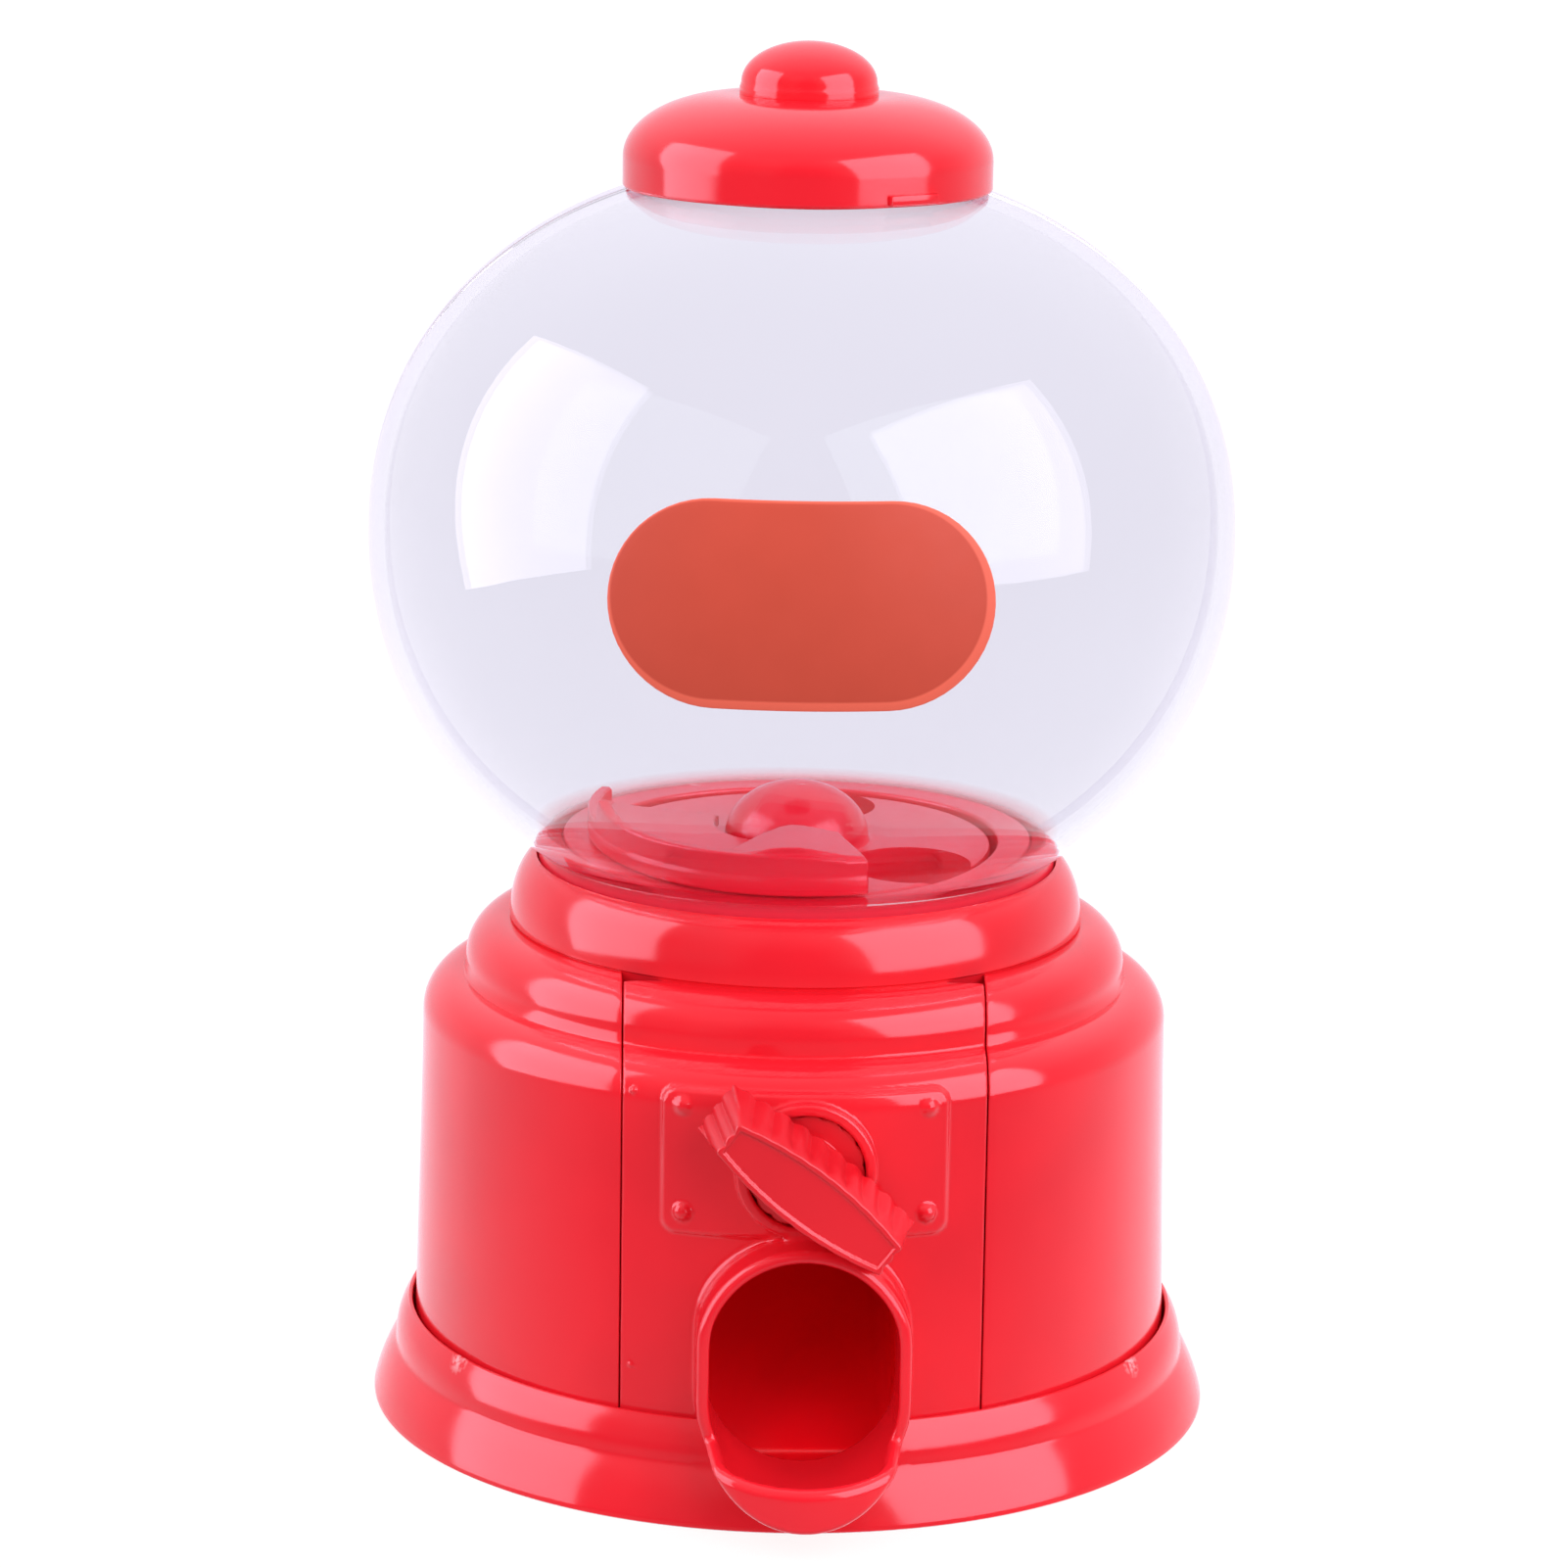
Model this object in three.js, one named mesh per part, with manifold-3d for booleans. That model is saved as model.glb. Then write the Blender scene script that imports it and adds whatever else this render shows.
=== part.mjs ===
// A table-top gumball dispenser: a clear two-part globe on a stepped moulded body, with a turn knob that
// drives a pocket wheel through a pinion and a crown gear. Millimetres, +Z up, the front faces -Y, and the
// origin is the centre of the flat underside.
import * as THREE from "three";
import { mergeVertices } from "three/addons/utils/BufferGeometryUtils.js";
import Module from "manifold-3d";

const wasm = await Module();
wasm.setup();

// ---- Driving dimensions ----
const GAP = 0.3; // clearance between neighbouring pieces
const ROUND = 36; // facets round a large turned piece
const SMALL_ROUND = 16; // facets round a small one

const GLOBE = { radius: 42.9, midZ: 89, up: 36.8, upPower: 2.13, down: 39.2, downPower: 2.06, wall: 1.6 };
const GLOBE_NECK = { radius: 25.9, bottomZ: 54.7 };
const MOUTH_RADIUS = 15.6;

const LEDGE = { innerR: 24, outerR: 27.3, bottomZ: 48.3, topZ: 54.4 }; // shelf that carries the globe's neck
const BODY_BOTTOM_Z = 2.1;
const PLINTH = { floorTop: 1.8, lipTop: 9.75, innerR: 38.6 };
const PANEL_HALF_WIDTH = 17.45; // middle of the seams on each side
const SEAM = 0.45;

const AXLE_Z = 34.8; // height of the knob's axis
const KNOB_REST_TILT = THREE.MathUtils.degToRad(37.8); // right end down, against the spout
const KNOB = { backY: -39.4, frontY: -47.2, baseLength: 11.1, faceLength: 9.7 };
const HOLE_R = 5.6; // hole in the panel for the knob's hub
const SHAFT_R = 2.6;
const BORE_R = SHAFT_R + GAP;

const SPOUT = { halfWidth: 10.35, lowZ: 3.2, highZ: 28.25, wall: 1.2, backY: -34.4, frontY: -42.7, lipY: -51 };

const PINION = { teeth: 15, rootR: 5.9, tipR: 7.5, nearY: -3.7, width: 1.8 };
const CROWN = { teeth: 10, discR: 6.2, innerR: 3.7, outerR: 5.6, tipZ: 41, discZ: 42.8, topZ: 45.9 };
const TOOTH = { root: 0.8, tip: 0.55 };

const CUP = { floorZ: 46.3, floorTop: 48, flangeR: 27, innerR: 20.5, outerR: 21.8, lipR: 24, rimZ: 57.5 };
const ROTOR = { radius: 19.8, bottomZ: 48.4, topZ: 57.2, domeR: 7.3, domeTopZ: 64 };
const POCKET = { radius: 6.2, offset: 14.2, angles: [320, 200, 80] };
const OUTLET = { radius: 6, angle: 203 };
const HOOD = {
  from: 160, to: 287, wallFrom: 198,
  innerR: 8.3, outerR: 21.2,
  bottomZ: 57.8, roofZ: 59.1, topZ: 61.5,
};
const BEARING = { halfWidth: 6.5, backY: -21, frontY: -24, screwX: 4.8 };
const HOPPER_SCREWS = { radius: 25.65, angles: [90, 210, 330] };
const SNAP_ANGLES = [-148, -32, 32, 148]; // from +X, round the plinth

// ---- Materials ----
function plastic(color, roughness) {
  return new THREE.MeshStandardMaterial({ color, roughness, metalness: 0 });
}

const RED = plastic(0xf02d3c, 0.25);
const INNER_RED = plastic(0xe0303f, 0.3);
const WHITE = plastic(0xe9e7e0, 0.45);
const LABEL_RED = plastic(0xd85542, 0.5);
const CLEAR = new THREE.MeshStandardMaterial({ color: 0xe6e3f2, roughness: 0.05, transparent: true, opacity: 0.3 });
const STEEL = new THREE.MeshStandardMaterial({ color: 0xb8b8b4, roughness: 0.35, metalness: 1 });

// ---- Solids ----
function solid(geometry) {
  const bare = geometry.index ? geometry.toNonIndexed() : geometry.clone();
  bare.deleteAttribute("normal");
  bare.deleteAttribute("uv");
  const merged = mergeVertices(bare, 1e-4);
  return new wasm.Manifold(
    new wasm.Mesh({
      numProp: 3,
      vertProperties: merged.attributes.position.array,
      triVerts: new Uint32Array(merged.index.array),
    }),
  );
}

function geometryOf(made) {
  const mesh = made.getMesh();
  const geometry = new THREE.BufferGeometry();
  geometry.setAttribute("position", new THREE.BufferAttribute(mesh.vertProperties, 3));
  geometry.setIndex(new THREE.BufferAttribute(mesh.triVerts, 1));
  geometry.computeVertexNormals();
  return geometry;
}

// A solid turned about the Z axis. Its outline is a list of [radius, z] that starts and ends on the axis,
// or is a loop, which is closed here.
function turned(outline, facets = ROUND) {
  const points = outline.map(([r, z]) => new THREE.Vector2(r, z));
  const onAxis = points[0].x === 0 && points.at(-1).x === 0;
  if (!onAxis) points.push(points[0].clone());
  if (THREE.ShapeUtils.area(points) < 0) points.reverse();
  return solid(new THREE.LatheGeometry(points, facets).rotateX(Math.PI / 2));
}

function disc(radius, lowZ, highZ, facets = SMALL_ROUND) {
  return turned([[0, lowZ], [radius, lowZ], [radius, highZ], [0, highZ]], facets);
}

// The same, standing along Y, on the knob's axis
function axle(radius, fromY, toY, facets = SMALL_ROUND) {
  return disc(radius, -toY, -fromY, facets).rotate([90, 0, 0]).translate([0, 0, AXLE_Z]);
}

function block(x0, x1, y0, y1, z0, z1) {
  const geometry = new THREE.BoxGeometry(x1 - x0, y1 - y0, z1 - z0);
  return solid(geometry.translate((x0 + x1) / 2, (y0 + y1) / 2, (z0 + z1) / 2));
}

// A flat shape raised along Z
function raised(shape, lowZ, highZ, curveSegments = 12) {
  const geometry = new THREE.ExtrudeGeometry(shape, { depth: highZ - lowZ, bevelEnabled: false, curveSegments });
  return solid(geometry.translate(0, 0, lowZ));
}

// A shape drawn in x and z, pushed along Y
function pushedAlongY(shape, nearY, farY, curveSegments = 12) {
  const geometry = new THREE.ExtrudeGeometry(shape, { depth: farY - nearY, bevelEnabled: false, curveSegments });
  return solid(geometry.rotateX(Math.PI / 2).translate(0, farY, 0));
}

// A shape drawn in y and z, pushed along X
function pushedAlongX(shape, lowX, highX) {
  const geometry = new THREE.ExtrudeGeometry(shape, { depth: highX - lowX, bevelEnabled: false });
  const turn = new THREE.Matrix4().makeBasis(
    new THREE.Vector3(0, 1, 0),
    new THREE.Vector3(0, 0, 1),
    new THREE.Vector3(1, 0, 0),
  );
  return solid(geometry.applyMatrix4(turn).translate(lowX, 0, 0));
}

function polygon(points) {
  return new THREE.Shape(points.map(([x, y]) => new THREE.Vector2(x, y)));
}

function sector(innerR, outerR, fromDegrees, toDegrees) {
  const from = THREE.MathUtils.degToRad(fromDegrees);
  const to = THREE.MathUtils.degToRad(toDegrees);
  const shape = new THREE.Shape();
  shape.absarc(0, 0, outerR, from, to, false);
  shape.absarc(0, 0, innerR, to, from, true);
  shape.closePath();
  return shape;
}

// Upright slot with half-round ends
function uprightSlot(halfWidth, lowZ, highZ) {
  const shape = new THREE.Shape();
  shape.absarc(0, highZ - halfWidth, halfWidth, 0, Math.PI, false);
  shape.absarc(0, lowZ + halfWidth, halfWidth, Math.PI, 2 * Math.PI, false);
  shape.closePath();
  return shape;
}

function polar(radius, degrees) {
  const angle = THREE.MathUtils.degToRad(degrees);
  return [radius * Math.cos(angle), radius * Math.sin(angle)];
}

// Quarter of an ellipse from its flat top [r0, z0] round to its upright side [r1, z1]
function shoulder(r0, z0, r1, z1, steps = 4) {
  const points = [];
  for (let i = 0; i <= steps; i++) {
    const angle = (i / steps) * (Math.PI / 2);
    points.push([r0 + (r1 - r0) * Math.sin(angle), z1 + (z0 - z1) * Math.cos(angle)]);
  }
  return points;
}

// ---- Body ----
const NECK_RING = shoulder(25.2, 56.6, 28.8, 50, 5).slice(1); // starts at the bore, 26.3 from the axis
const MIDDLE_STEP = [...shoulder(28.95, 49.9, 33.2, 45.7), [33.4, 44.35]];
const LOWER_STEP = shoulder(33.45, 44.3, 37.5, 40.2);
const SKIRT = [[38.25, 10], [38.3, BODY_BOTTOM_Z]];
const INNER_SIDE = [
  [36.5, BODY_BOTTOM_Z], [36.45, 10], [35.7, 39], [35, 40.6], [33.6, 41.9], [31.6, 42.4], [31.5, 45.2], [30.4, 47],
];

function housing() {
  const shell = turned([
    ...NECK_RING, ...MIDDLE_STEP, ...LOWER_STEP, ...SKIRT, ...INNER_SIDE,
    [28.4, LEDGE.bottomZ], [LEDGE.innerR, LEDGE.bottomZ], [LEDGE.innerR, LEDGE.topZ], [26.3, LEDGE.topZ],
  ]);
  const halfWidth = PANEL_HALF_WIDTH + SEAM / 2;
  const doorway = block(-halfWidth, halfWidth, -50, -10, 0, 50).subtract(disc(LEDGE.outerR + 0.1, -1, 60, ROUND));
  let made = shell.subtract(doorway);
  for (const degrees of SNAP_ANGLES) {
    const ledge = block(34.9, 37, -3.5, 3.5, 10, 12.6);
    made = made.add(ledge.rotate([0, 0, degrees]));
  }
  for (const degrees of HOPPER_SCREWS.angles) {
    const [x, y] = polar(HOPPER_SCREWS.radius, degrees);
    made = made.subtract(disc(1.2, 47, 49.6, 10).translate([x, y, 0]));
  }
  return made;
}

function panelShell() {
  const innerTop = LEDGE.outerR + 0.5;
  const shell = turned([
    ...MIDDLE_STEP, ...LOWER_STEP, ...SKIRT, ...INNER_SIDE, [28.6, 48.1], [innerTop, 48.1], [innerTop, 49.7],
    [28.7, 49.7],
  ]);
  const halfWidth = PANEL_HALF_WIDTH - SEAM / 2;
  return shell.intersect(block(-halfWidth, halfWidth, -50, -10, 0, 49.7));
}

// Strips behind the panel's edges that lie against the inside of the housing
function panelLips() {
  const edge = PANEL_HALF_WIDTH - SEAM / 2;
  const strip = turned([[34, 12.9], [35.25, 12.9], [35.25, 36], [34, 36]]);
  const root = turned([[34, 12.9], [37, 12.9], [36.8, 36], [34, 36]]);
  const lips = [];
  for (const side of [-1, 1]) {
    const reach = [side * 15.2, side * 20].sort((a, b) => a - b);
    const band = [side * 15.2, side * edge].sort((a, b) => a - b);
    lips.push(strip.intersect(block(...reach, -50, -10, 0, 60)));
    lips.push(root.intersect(block(...band, -50, -10, 0, 60)));
  }
  return lips;
}

// Raised coin plate with four rivet heads and a collar round the knob's hole
function coinPlate() {
  const outline = new THREE.Shape();
  const [halfWidth, lowZ, highZ, corner] = [13.6, 27.9, 42.15, 1.4];
  outline.moveTo(-halfWidth + corner, lowZ);
  outline.lineTo(halfWidth - corner, lowZ);
  outline.absarc(halfWidth - corner, lowZ + corner, corner, -Math.PI / 2, 0, false);
  outline.absarc(halfWidth - corner, highZ - corner, corner, 0, Math.PI / 2, false);
  outline.absarc(-halfWidth + corner, highZ - corner, corner, Math.PI / 2, Math.PI, false);
  outline.absarc(-halfWidth + corner, lowZ + corner, corner, Math.PI, 1.5 * Math.PI, false);
  const skin = turned([[37, 27], [38.35, 27], [38.05, 40.4], [37.45, 42.6], [35, 42.6], [36.3, 40]]);
  let plate = skin.intersect(pushedAlongY(outline, -45, -25, 3));
  for (const degrees of [-107.7, -72.3]) {
    for (const z of [30.1, 40.5]) {
      const [x, y] = polar(38, degrees);
      const head = new THREE.SphereGeometry(0.95, 8, 6).translate(x, y, z);
      plate = plate.add(solid(head));
    }
  }
  return plate.add(axle(6.7, -39.1, -36, 24));
}

// Plan of the spout: its full width back to backY, and a half-ellipse in front for the tray
function spoutPlan(width, backY, lipY) {
  const { frontY } = SPOUT;
  const shape = new THREE.Shape();
  shape.absellipse(0, frontY, width, frontY - lipY, Math.PI, 2 * Math.PI, false);
  shape.lineTo(width + 1, frontY);
  shape.lineTo(width + 1, backY);
  shape.lineTo(-width - 1, backY);
  shape.lineTo(-width - 1, frontY);
  shape.closePath();
  return shape;
}

// The spout: an upright slot-shaped tube with a rounded tray in front that stops the sweet at its lip
function spout() {
  const { halfWidth, lowZ, highZ, backY, frontY, lipY } = SPOUT;
  const tube = pushedAlongY(uprightSlot(halfWidth, lowZ, highZ), lipY - 1, backY);
  const plan = raised(spoutPlan(halfWidth + 0.05, backY + 1, lipY), 0, 40);
  const aboveTray = polygon([[frontY, 9.6], [lipY - 2, 7.1], [lipY - 2, 40], [frontY, 40]]);
  return tube.intersect(plan).subtract(pushedAlongX(aboveTray, -20, 20));
}

// The hollow of the spout, through the panel and out over the tray
function spoutHollow() {
  const { halfWidth, lowZ, highZ, wall, lipY } = SPOUT;
  const bore = uprightSlot(halfWidth - wall, lowZ + wall + 0.1, highZ - wall);
  const plan = spoutPlan(halfWidth - wall + 0.05, -29, lipY + wall);
  return pushedAlongY(bore, lipY - 2, -30).intersect(raised(plan, 0, 41));
}

function frontPanel() {
  let made = panelShell().add(spout()).add(coinPlate());
  for (const lip of panelLips()) made = made.add(lip);
  return made.subtract(spoutHollow()).subtract(axle(HOLE_R, -41, -30, 24));
}

function basePlinth() {
  const shell = turned([
    [0, 0], [42.3, 0], [42.6, 0.3], [42.25, 1.4], [41.7, 2.7], [41.1, 3.9], [40.6, 5.05], [40.35, 6.3],
    [39.95, 7.6], [39.45, 8.8], [39, PLINTH.lipTop], [PLINTH.innerR, PLINTH.lipTop],
    [PLINTH.innerR, PLINTH.floorTop], [0, PLINTH.floorTop],
  ]);
  const notch = uprightSlot(SPOUT.halfWidth + GAP, SPOUT.lowZ - GAP, SPOUT.highZ);
  let made = shell.subtract(pushedAlongY(notch, -50, -30));
  for (const degrees of SNAP_ANGLES) {
    const hook = block(33.4, 34.6, -3, 3, 1, 15).add(block(34, 35.7, -3, 3, 13, 15));
    made = made.add(hook.rotate([0, 0, degrees]));
  }
  return made;
}

// ---- Globe and lid ----
// The globe's outline from radius to radius, on its upper or lower half, inset from the outer surface
function globeArc(fromR, toR, upper, inset, steps) {
  const radius = GLOBE.radius - inset;
  const height = (upper ? GLOBE.up : GLOBE.down) - inset;
  const power = upper ? GLOBE.upPower : GLOBE.downPower;
  const angleAt = (r) => Math.asin((r / radius) ** (power / 2));
  const points = [];
  for (let i = 0; i <= steps; i++) {
    const angle = angleAt(fromR) + ((angleAt(toR) - angleAt(fromR)) * i) / steps;
    const r = radius * Math.sin(angle) ** (2 / power);
    const z = height * Math.abs(Math.cos(angle)) ** (2 / power);
    points.push([r, GLOBE.midZ + (upper ? z : -z)]);
  }
  return points;
}

function globeShell() {
  const neck = GLOBE_NECK.radius;
  const innerNeck = neck - GLOBE.wall;
  const innerR = GLOBE.radius - GLOBE.wall;
  return turned([
    [neck, GLOBE_NECK.bottomZ],
    ...globeArc(neck, GLOBE.radius, false, 0, 7),
    ...globeArc(GLOBE.radius, MOUTH_RADIUS, true, 0, 8).slice(1),
    ...globeArc(MOUTH_RADIUS, innerR, true, GLOBE.wall, 8),
    ...globeArc(innerR, innerNeck, false, GLOBE.wall, 7).slice(1),
    [innerNeck, GLOBE_NECK.bottomZ],
  ]);
}

function globeHalf(front) {
  const [nearY, farY] = front ? [-60, -GAP / 2] : [GAP / 2, 60];
  return globeShell().intersect(block(-60, 60, nearY, farY, 40, 140));
}

function label() {
  const onGlobe = (inset) =>
    [80, 86.5, 93.5, 100].map((z) => {
      const upper = z > GLOBE.midZ;
      const height = (upper ? GLOBE.up : GLOBE.down) - inset;
      const power = upper ? GLOBE.upPower : GLOBE.downPower;
      const share = (Math.abs(z - GLOBE.midZ) / height) ** power;
      return [(GLOBE.radius - inset) * (1 - share) ** (1 / power), z];
    });
  const band = turned([...onGlobe(-0.5), ...onGlobe(-0.2).reverse()]);
  const [centreX, halfLength, lowZ, highZ] = [-1.4, 17.8, 80.1, 99.55];
  const radius = (highZ - lowZ) / 2;
  const outline = new THREE.Shape();
  outline.absarc(centreX + halfLength - radius, lowZ + radius, radius, -Math.PI / 2, Math.PI / 2, false);
  outline.absarc(centreX - halfLength + radius, lowZ + radius, radius, Math.PI / 2, 1.5 * Math.PI, false);
  outline.closePath();
  return band.intersect(pushedAlongY(outline, -60, -20, 8));
}

const LID = { rimR: 18.1, rimZ: 123.45, topZ: 132.3, skinZ: 129.9, plugR: 15.2, plugZ: 121.9 };

function lid() {
  const shell = turned([
    [2.6, LID.topZ], ...shoulder(7.5, LID.topZ, LID.rimR, 126.1, 6), [LID.rimR, LID.rimZ],
    [17.5, LID.rimZ], [16.8, LID.rimZ + 0.4], [16.8, 126], [15.9, 128], [LID.plugR, 128.6], [LID.plugR, LID.plugZ],
    [LID.plugR - 1.3, LID.plugZ], [LID.plugR - 1.3, 129.2], [8, LID.skinZ], [2.6, LID.skinZ],
  ]);
  const tab = block(17.6, 18.7, -2.8, 2.8, LID.rimZ - 0.1, LID.rimZ + 1.1);
  return shell.add(tab.rotate([0, 0, -58.5]));
}

// Push-in finial: a domed button on a split stem
function lidKnob() {
  const seatZ = LID.topZ + GAP;
  return turned([
    [0, 127.4], [2, 127.4], [2.9, 128.4], [2.9, LID.skinZ - GAP], [2.2, LID.skinZ - GAP], [2.2, seatZ], [6.7, seatZ],
    [6.8, 133.4], ...shoulder(0, 137.45, 6.75, 133.5, 6).reverse(),
  ], 24);
}

// ---- Knob and its drive ----
// Long lens-shaped outline with square ends and a ridged edge, in its own x and y
function knobOutline(halfLength, middle, end, ridges) {
  const points = [];
  const ridge = 0.22;
  for (const side of [1, -1]) {
    for (let i = 0; i <= 2 * ridges; i++) {
      const x = side * halfLength * (1 - i / ridges);
      const bulge = 1 - (x / halfLength) ** 2;
      const y = end + (middle - end) * bulge - (i % 2 ? ridge : 0);
      points.push([x, side * y]);
    }
  }
  return points;
}

// The grip tapers from its base to its face
function knobGrip() {
  const depth = KNOB.backY - KNOB.frontY;
  const ridges = 9;
  const base = knobOutline(KNOB.baseLength, 3.75, 2.75, ridges);
  const face = knobOutline(KNOB.faceLength, 2.95, 1.7, ridges);
  const geometry = new THREE.ExtrudeGeometry(polygon(base), { depth, bevelEnabled: false });
  const position = geometry.attributes.position;
  for (let i = 0; i < position.count; i++) {
    if (position.getZ(i) < depth / 2) continue;
    const nearest = base.findIndex(([x, y]) => Math.hypot(position.getX(i) - x, position.getY(i) - y) < 1e-3);
    position.setXYZ(i, ...face[nearest], depth);
  }
  return solid(geometry.rotateX(Math.PI / 2));
}

// Round bar with a flat on one side, standing along Y from the origin towards -Y
function flattedBar(radius, length, flat) {
  const bar = disc(radius, 0, length, SMALL_ROUND);
  return bar.subtract(block(-radius, radius, flat, 2 * radius, -1, length + 1)).rotate([90, 0, 0]);
}

function knob() {
  const hubLength = 4.2;
  const hub = disc(3.8, -hubLength, 0.5, 24).add(disc(5.3, -2.2, -1, 24)).rotate([90, 0, 0]);
  const socket = flattedBar(BORE_R, 5.2, 2.1).translate([0, hubLength, 0]);
  return knobGrip().add(hub).subtract(socket);
}

function knobShaft() {
  const frontY = KNOB.backY - 0.7;
  const backY = PINION.nearY - 0.3;
  const length = backY - frontY;
  const bar = disc(SHAFT_R, 0, length, SMALL_ROUND);
  const collar = disc(6.1, 5.9, 7.3, 24);
  const keyedFront = block(-5, 5, -5, -1.8, -1, 5);
  const keyedBack = block(-5, 5, -5, -1.8, length - PINION.width - GAP, length + 1);
  const pilot = disc(1.2, length - 7, length + 1, 10);
  const made = bar.subtract(keyedFront).add(collar).subtract(keyedBack).subtract(pilot);
  return made.rotate([-90, 0, 0]);
}

function gearShape({ teeth, rootR, tipR }) {
  const points = [];
  for (let i = 0; i < teeth; i++) {
    const middle = ((i + 0.5) / teeth) * 2 * Math.PI + Math.PI / 2;
    const corners = [[rootR, -TOOTH.root], [tipR, -TOOTH.tip], [tipR, TOOTH.tip], [rootR, TOOTH.root]];
    for (const [r, across] of corners) {
      const angle = middle + Math.asin(across / 2 / r);
      points.push([r * Math.cos(angle), r * Math.sin(angle)]);
    }
  }
  return polygon(points);
}

// At rest a gap between two teeth is uppermost, whatever the tilt of the shaft's flat
function drivePinion() {
  const blank = raised(gearShape(PINION), 0, PINION.width).rotate([90, 0, 0]);
  const bore = flattedBar(BORE_R, PINION.width + 2, 2.1).translate([0, 1, 0]);
  return blank.subtract(bore.rotate([0, THREE.MathUtils.radToDeg(KNOB_REST_TILT), 0]));
}

// Self-tapping screw pointing along +Z, its head below the origin, with a cross recess
function screw(shankR, length, headR, headHeight) {
  const body = turned([
    [0, -headHeight], [headR * 0.8, -headHeight], [headR, -headHeight / 2], [headR, 0], [shankR, 0],
    [shankR, length - shankR], [0, length],
  ], 12);
  const [half, width, depth] = [headR * 0.62, headR * 0.14, headHeight * 0.5];
  const slot = block(-half, half, -width, width, -headHeight - 1, -headHeight + depth);
  return body.subtract(slot).subtract(slot.rotate([0, 0, 90]));
}

function crownGear() {
  const { teeth, discR, innerR, outerR, tipZ, discZ, topZ } = CROWN;
  let made = disc(discR, discZ, topZ, 24);
  for (let i = 0; i < teeth; i++) {
    const flank = polygon([
      [-TOOTH.tip / 2, tipZ], [TOOTH.tip / 2, tipZ], [TOOTH.root / 2, discZ + 0.3], [-TOOTH.root / 2, discZ + 0.3],
    ]);
    made = made.add(pushedAlongY(flank, -outerR, -innerR).rotate([0, 0, (i / teeth) * 360]));
  }
  const bore = disc(BORE_R, -1, 60).subtract(block(2.1, 6, -6, 6, -2, 61));
  return made.subtract(bore);
}

// ---- Pocket wheel and hopper ----
function rotor() {
  const { radius, bottomZ, topZ, domeR, domeTopZ } = ROTOR;
  let made = turned([
    [0, bottomZ], [radius, bottomZ], [radius, topZ - 0.6], [radius - 0.6, topZ], [domeR, topZ],
    ...shoulder(0, domeTopZ, domeR - 0.1, topZ + 0.3, 5).reverse(),
  ]);
  for (const degrees of POCKET.angles) {
    const [x, y] = polar(POCKET.offset, degrees);
    made = made.subtract(disc(POCKET.radius, bottomZ - 1, topZ + 1, 20).translate([x, y, 0]));
  }
  const spindle = disc(SHAFT_R, CROWN.discZ + 0.3, bottomZ + 1);
  const flat = block(1.8, 5, -5, 5, 40, CROWN.topZ + 0.1);
  return made.add(spindle.subtract(flat)).subtract(disc(1.2, 40, 51, 10));
}

// Cup with a flange that hangs under the housing's ledge, and the upper half of the shaft's bearing
function hopper() {
  const { floorZ, floorTop, flangeR, innerR, outerR, lipR, rimZ } = CUP;
  let made = turned([
    [BORE_R, floorZ], [flangeR, floorZ], [flangeR, floorTop], [outerR, floorTop], [outerR, rimZ - 1], [lipR, rimZ - 0.8],
    [lipR, rimZ], [innerR, rimZ],
    [innerR, floorTop], [BORE_R, floorTop],
  ]);
  const [outletX, outletY] = polar(POCKET.offset, OUTLET.angle);
  made = made.subtract(disc(OUTLET.radius, floorZ - 1, floorTop + 1, 20).translate([outletX, outletY, 0]));
  const { halfWidth, backY, frontY, screwX } = BEARING;
  made = made.add(block(-halfWidth, halfWidth, frontY, backY, AXLE_Z + GAP / 2, floorZ + 0.5));
  made = made.subtract(axle(BORE_R, frontY - 1, backY + 1));
  for (const side of [-1, 1]) {
    const pilot = disc(1.1, AXLE_Z - 1, AXLE_Z + 6, 10);
    made = made.subtract(pilot.translate([side * screwX, (frontY + backY) / 2, 0]));
  }
  for (const degrees of HOPPER_SCREWS.angles) {
    const [x, y] = polar(HOPPER_SCREWS.radius, degrees);
    made = made.subtract(disc(1.2, floorZ - 1, floorTop + 1, 10).translate([x, y, 0]));
  }
  return made;
}

const CAP = { bottomZ: 31, topZ: AXLE_Z - GAP / 2 };

function bearingCap() {
  const { halfWidth, backY, frontY, screwX } = BEARING;
  let made = block(-halfWidth, halfWidth, frontY, backY, CAP.bottomZ, CAP.topZ);
  made = made.subtract(axle(BORE_R, frontY - 1, backY + 1));
  for (const side of [-1, 1]) {
    const hole = disc(1.2, CAP.bottomZ - 1, CAP.topZ + 1, 10);
    made = made.subtract(hole.translate([side * screwX, (frontY + backY) / 2, 0]));
  }
  return made;
}

// Cover over the outlet, glued on the cup's rim, that keeps sweets from falling straight through. Its front is
// walled, with a peak at the left end of the wall and a flap along its top.
function guardHood() {
  const { from, to, wallFrom, innerR, outerR, bottomZ, roofZ, topZ } = HOOD;
  let made = raised(sector(innerR, outerR, from, to), bottomZ, roofZ);
  made = made.add(raised(sector(outerR - 1.4, outerR - 0.1, wallFrom, to - 0.5), roofZ - 0.8, topZ));
  made = made.add(raised(sector(outerR - 1.3, outerR - 0.2, wallFrom + 0.5, wallFrom + 7), roofZ - 0.5, topZ + 1.5));
  const flapPlan = polygon([[-9.8, -18], [-1.2, -12], [5.7, -12], [5.7, -19.6], [-2, -20.3]]);
  made = made.add(raised(flapPlan, topZ - 1.2, topZ + 0.4));
  return made;
}

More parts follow.
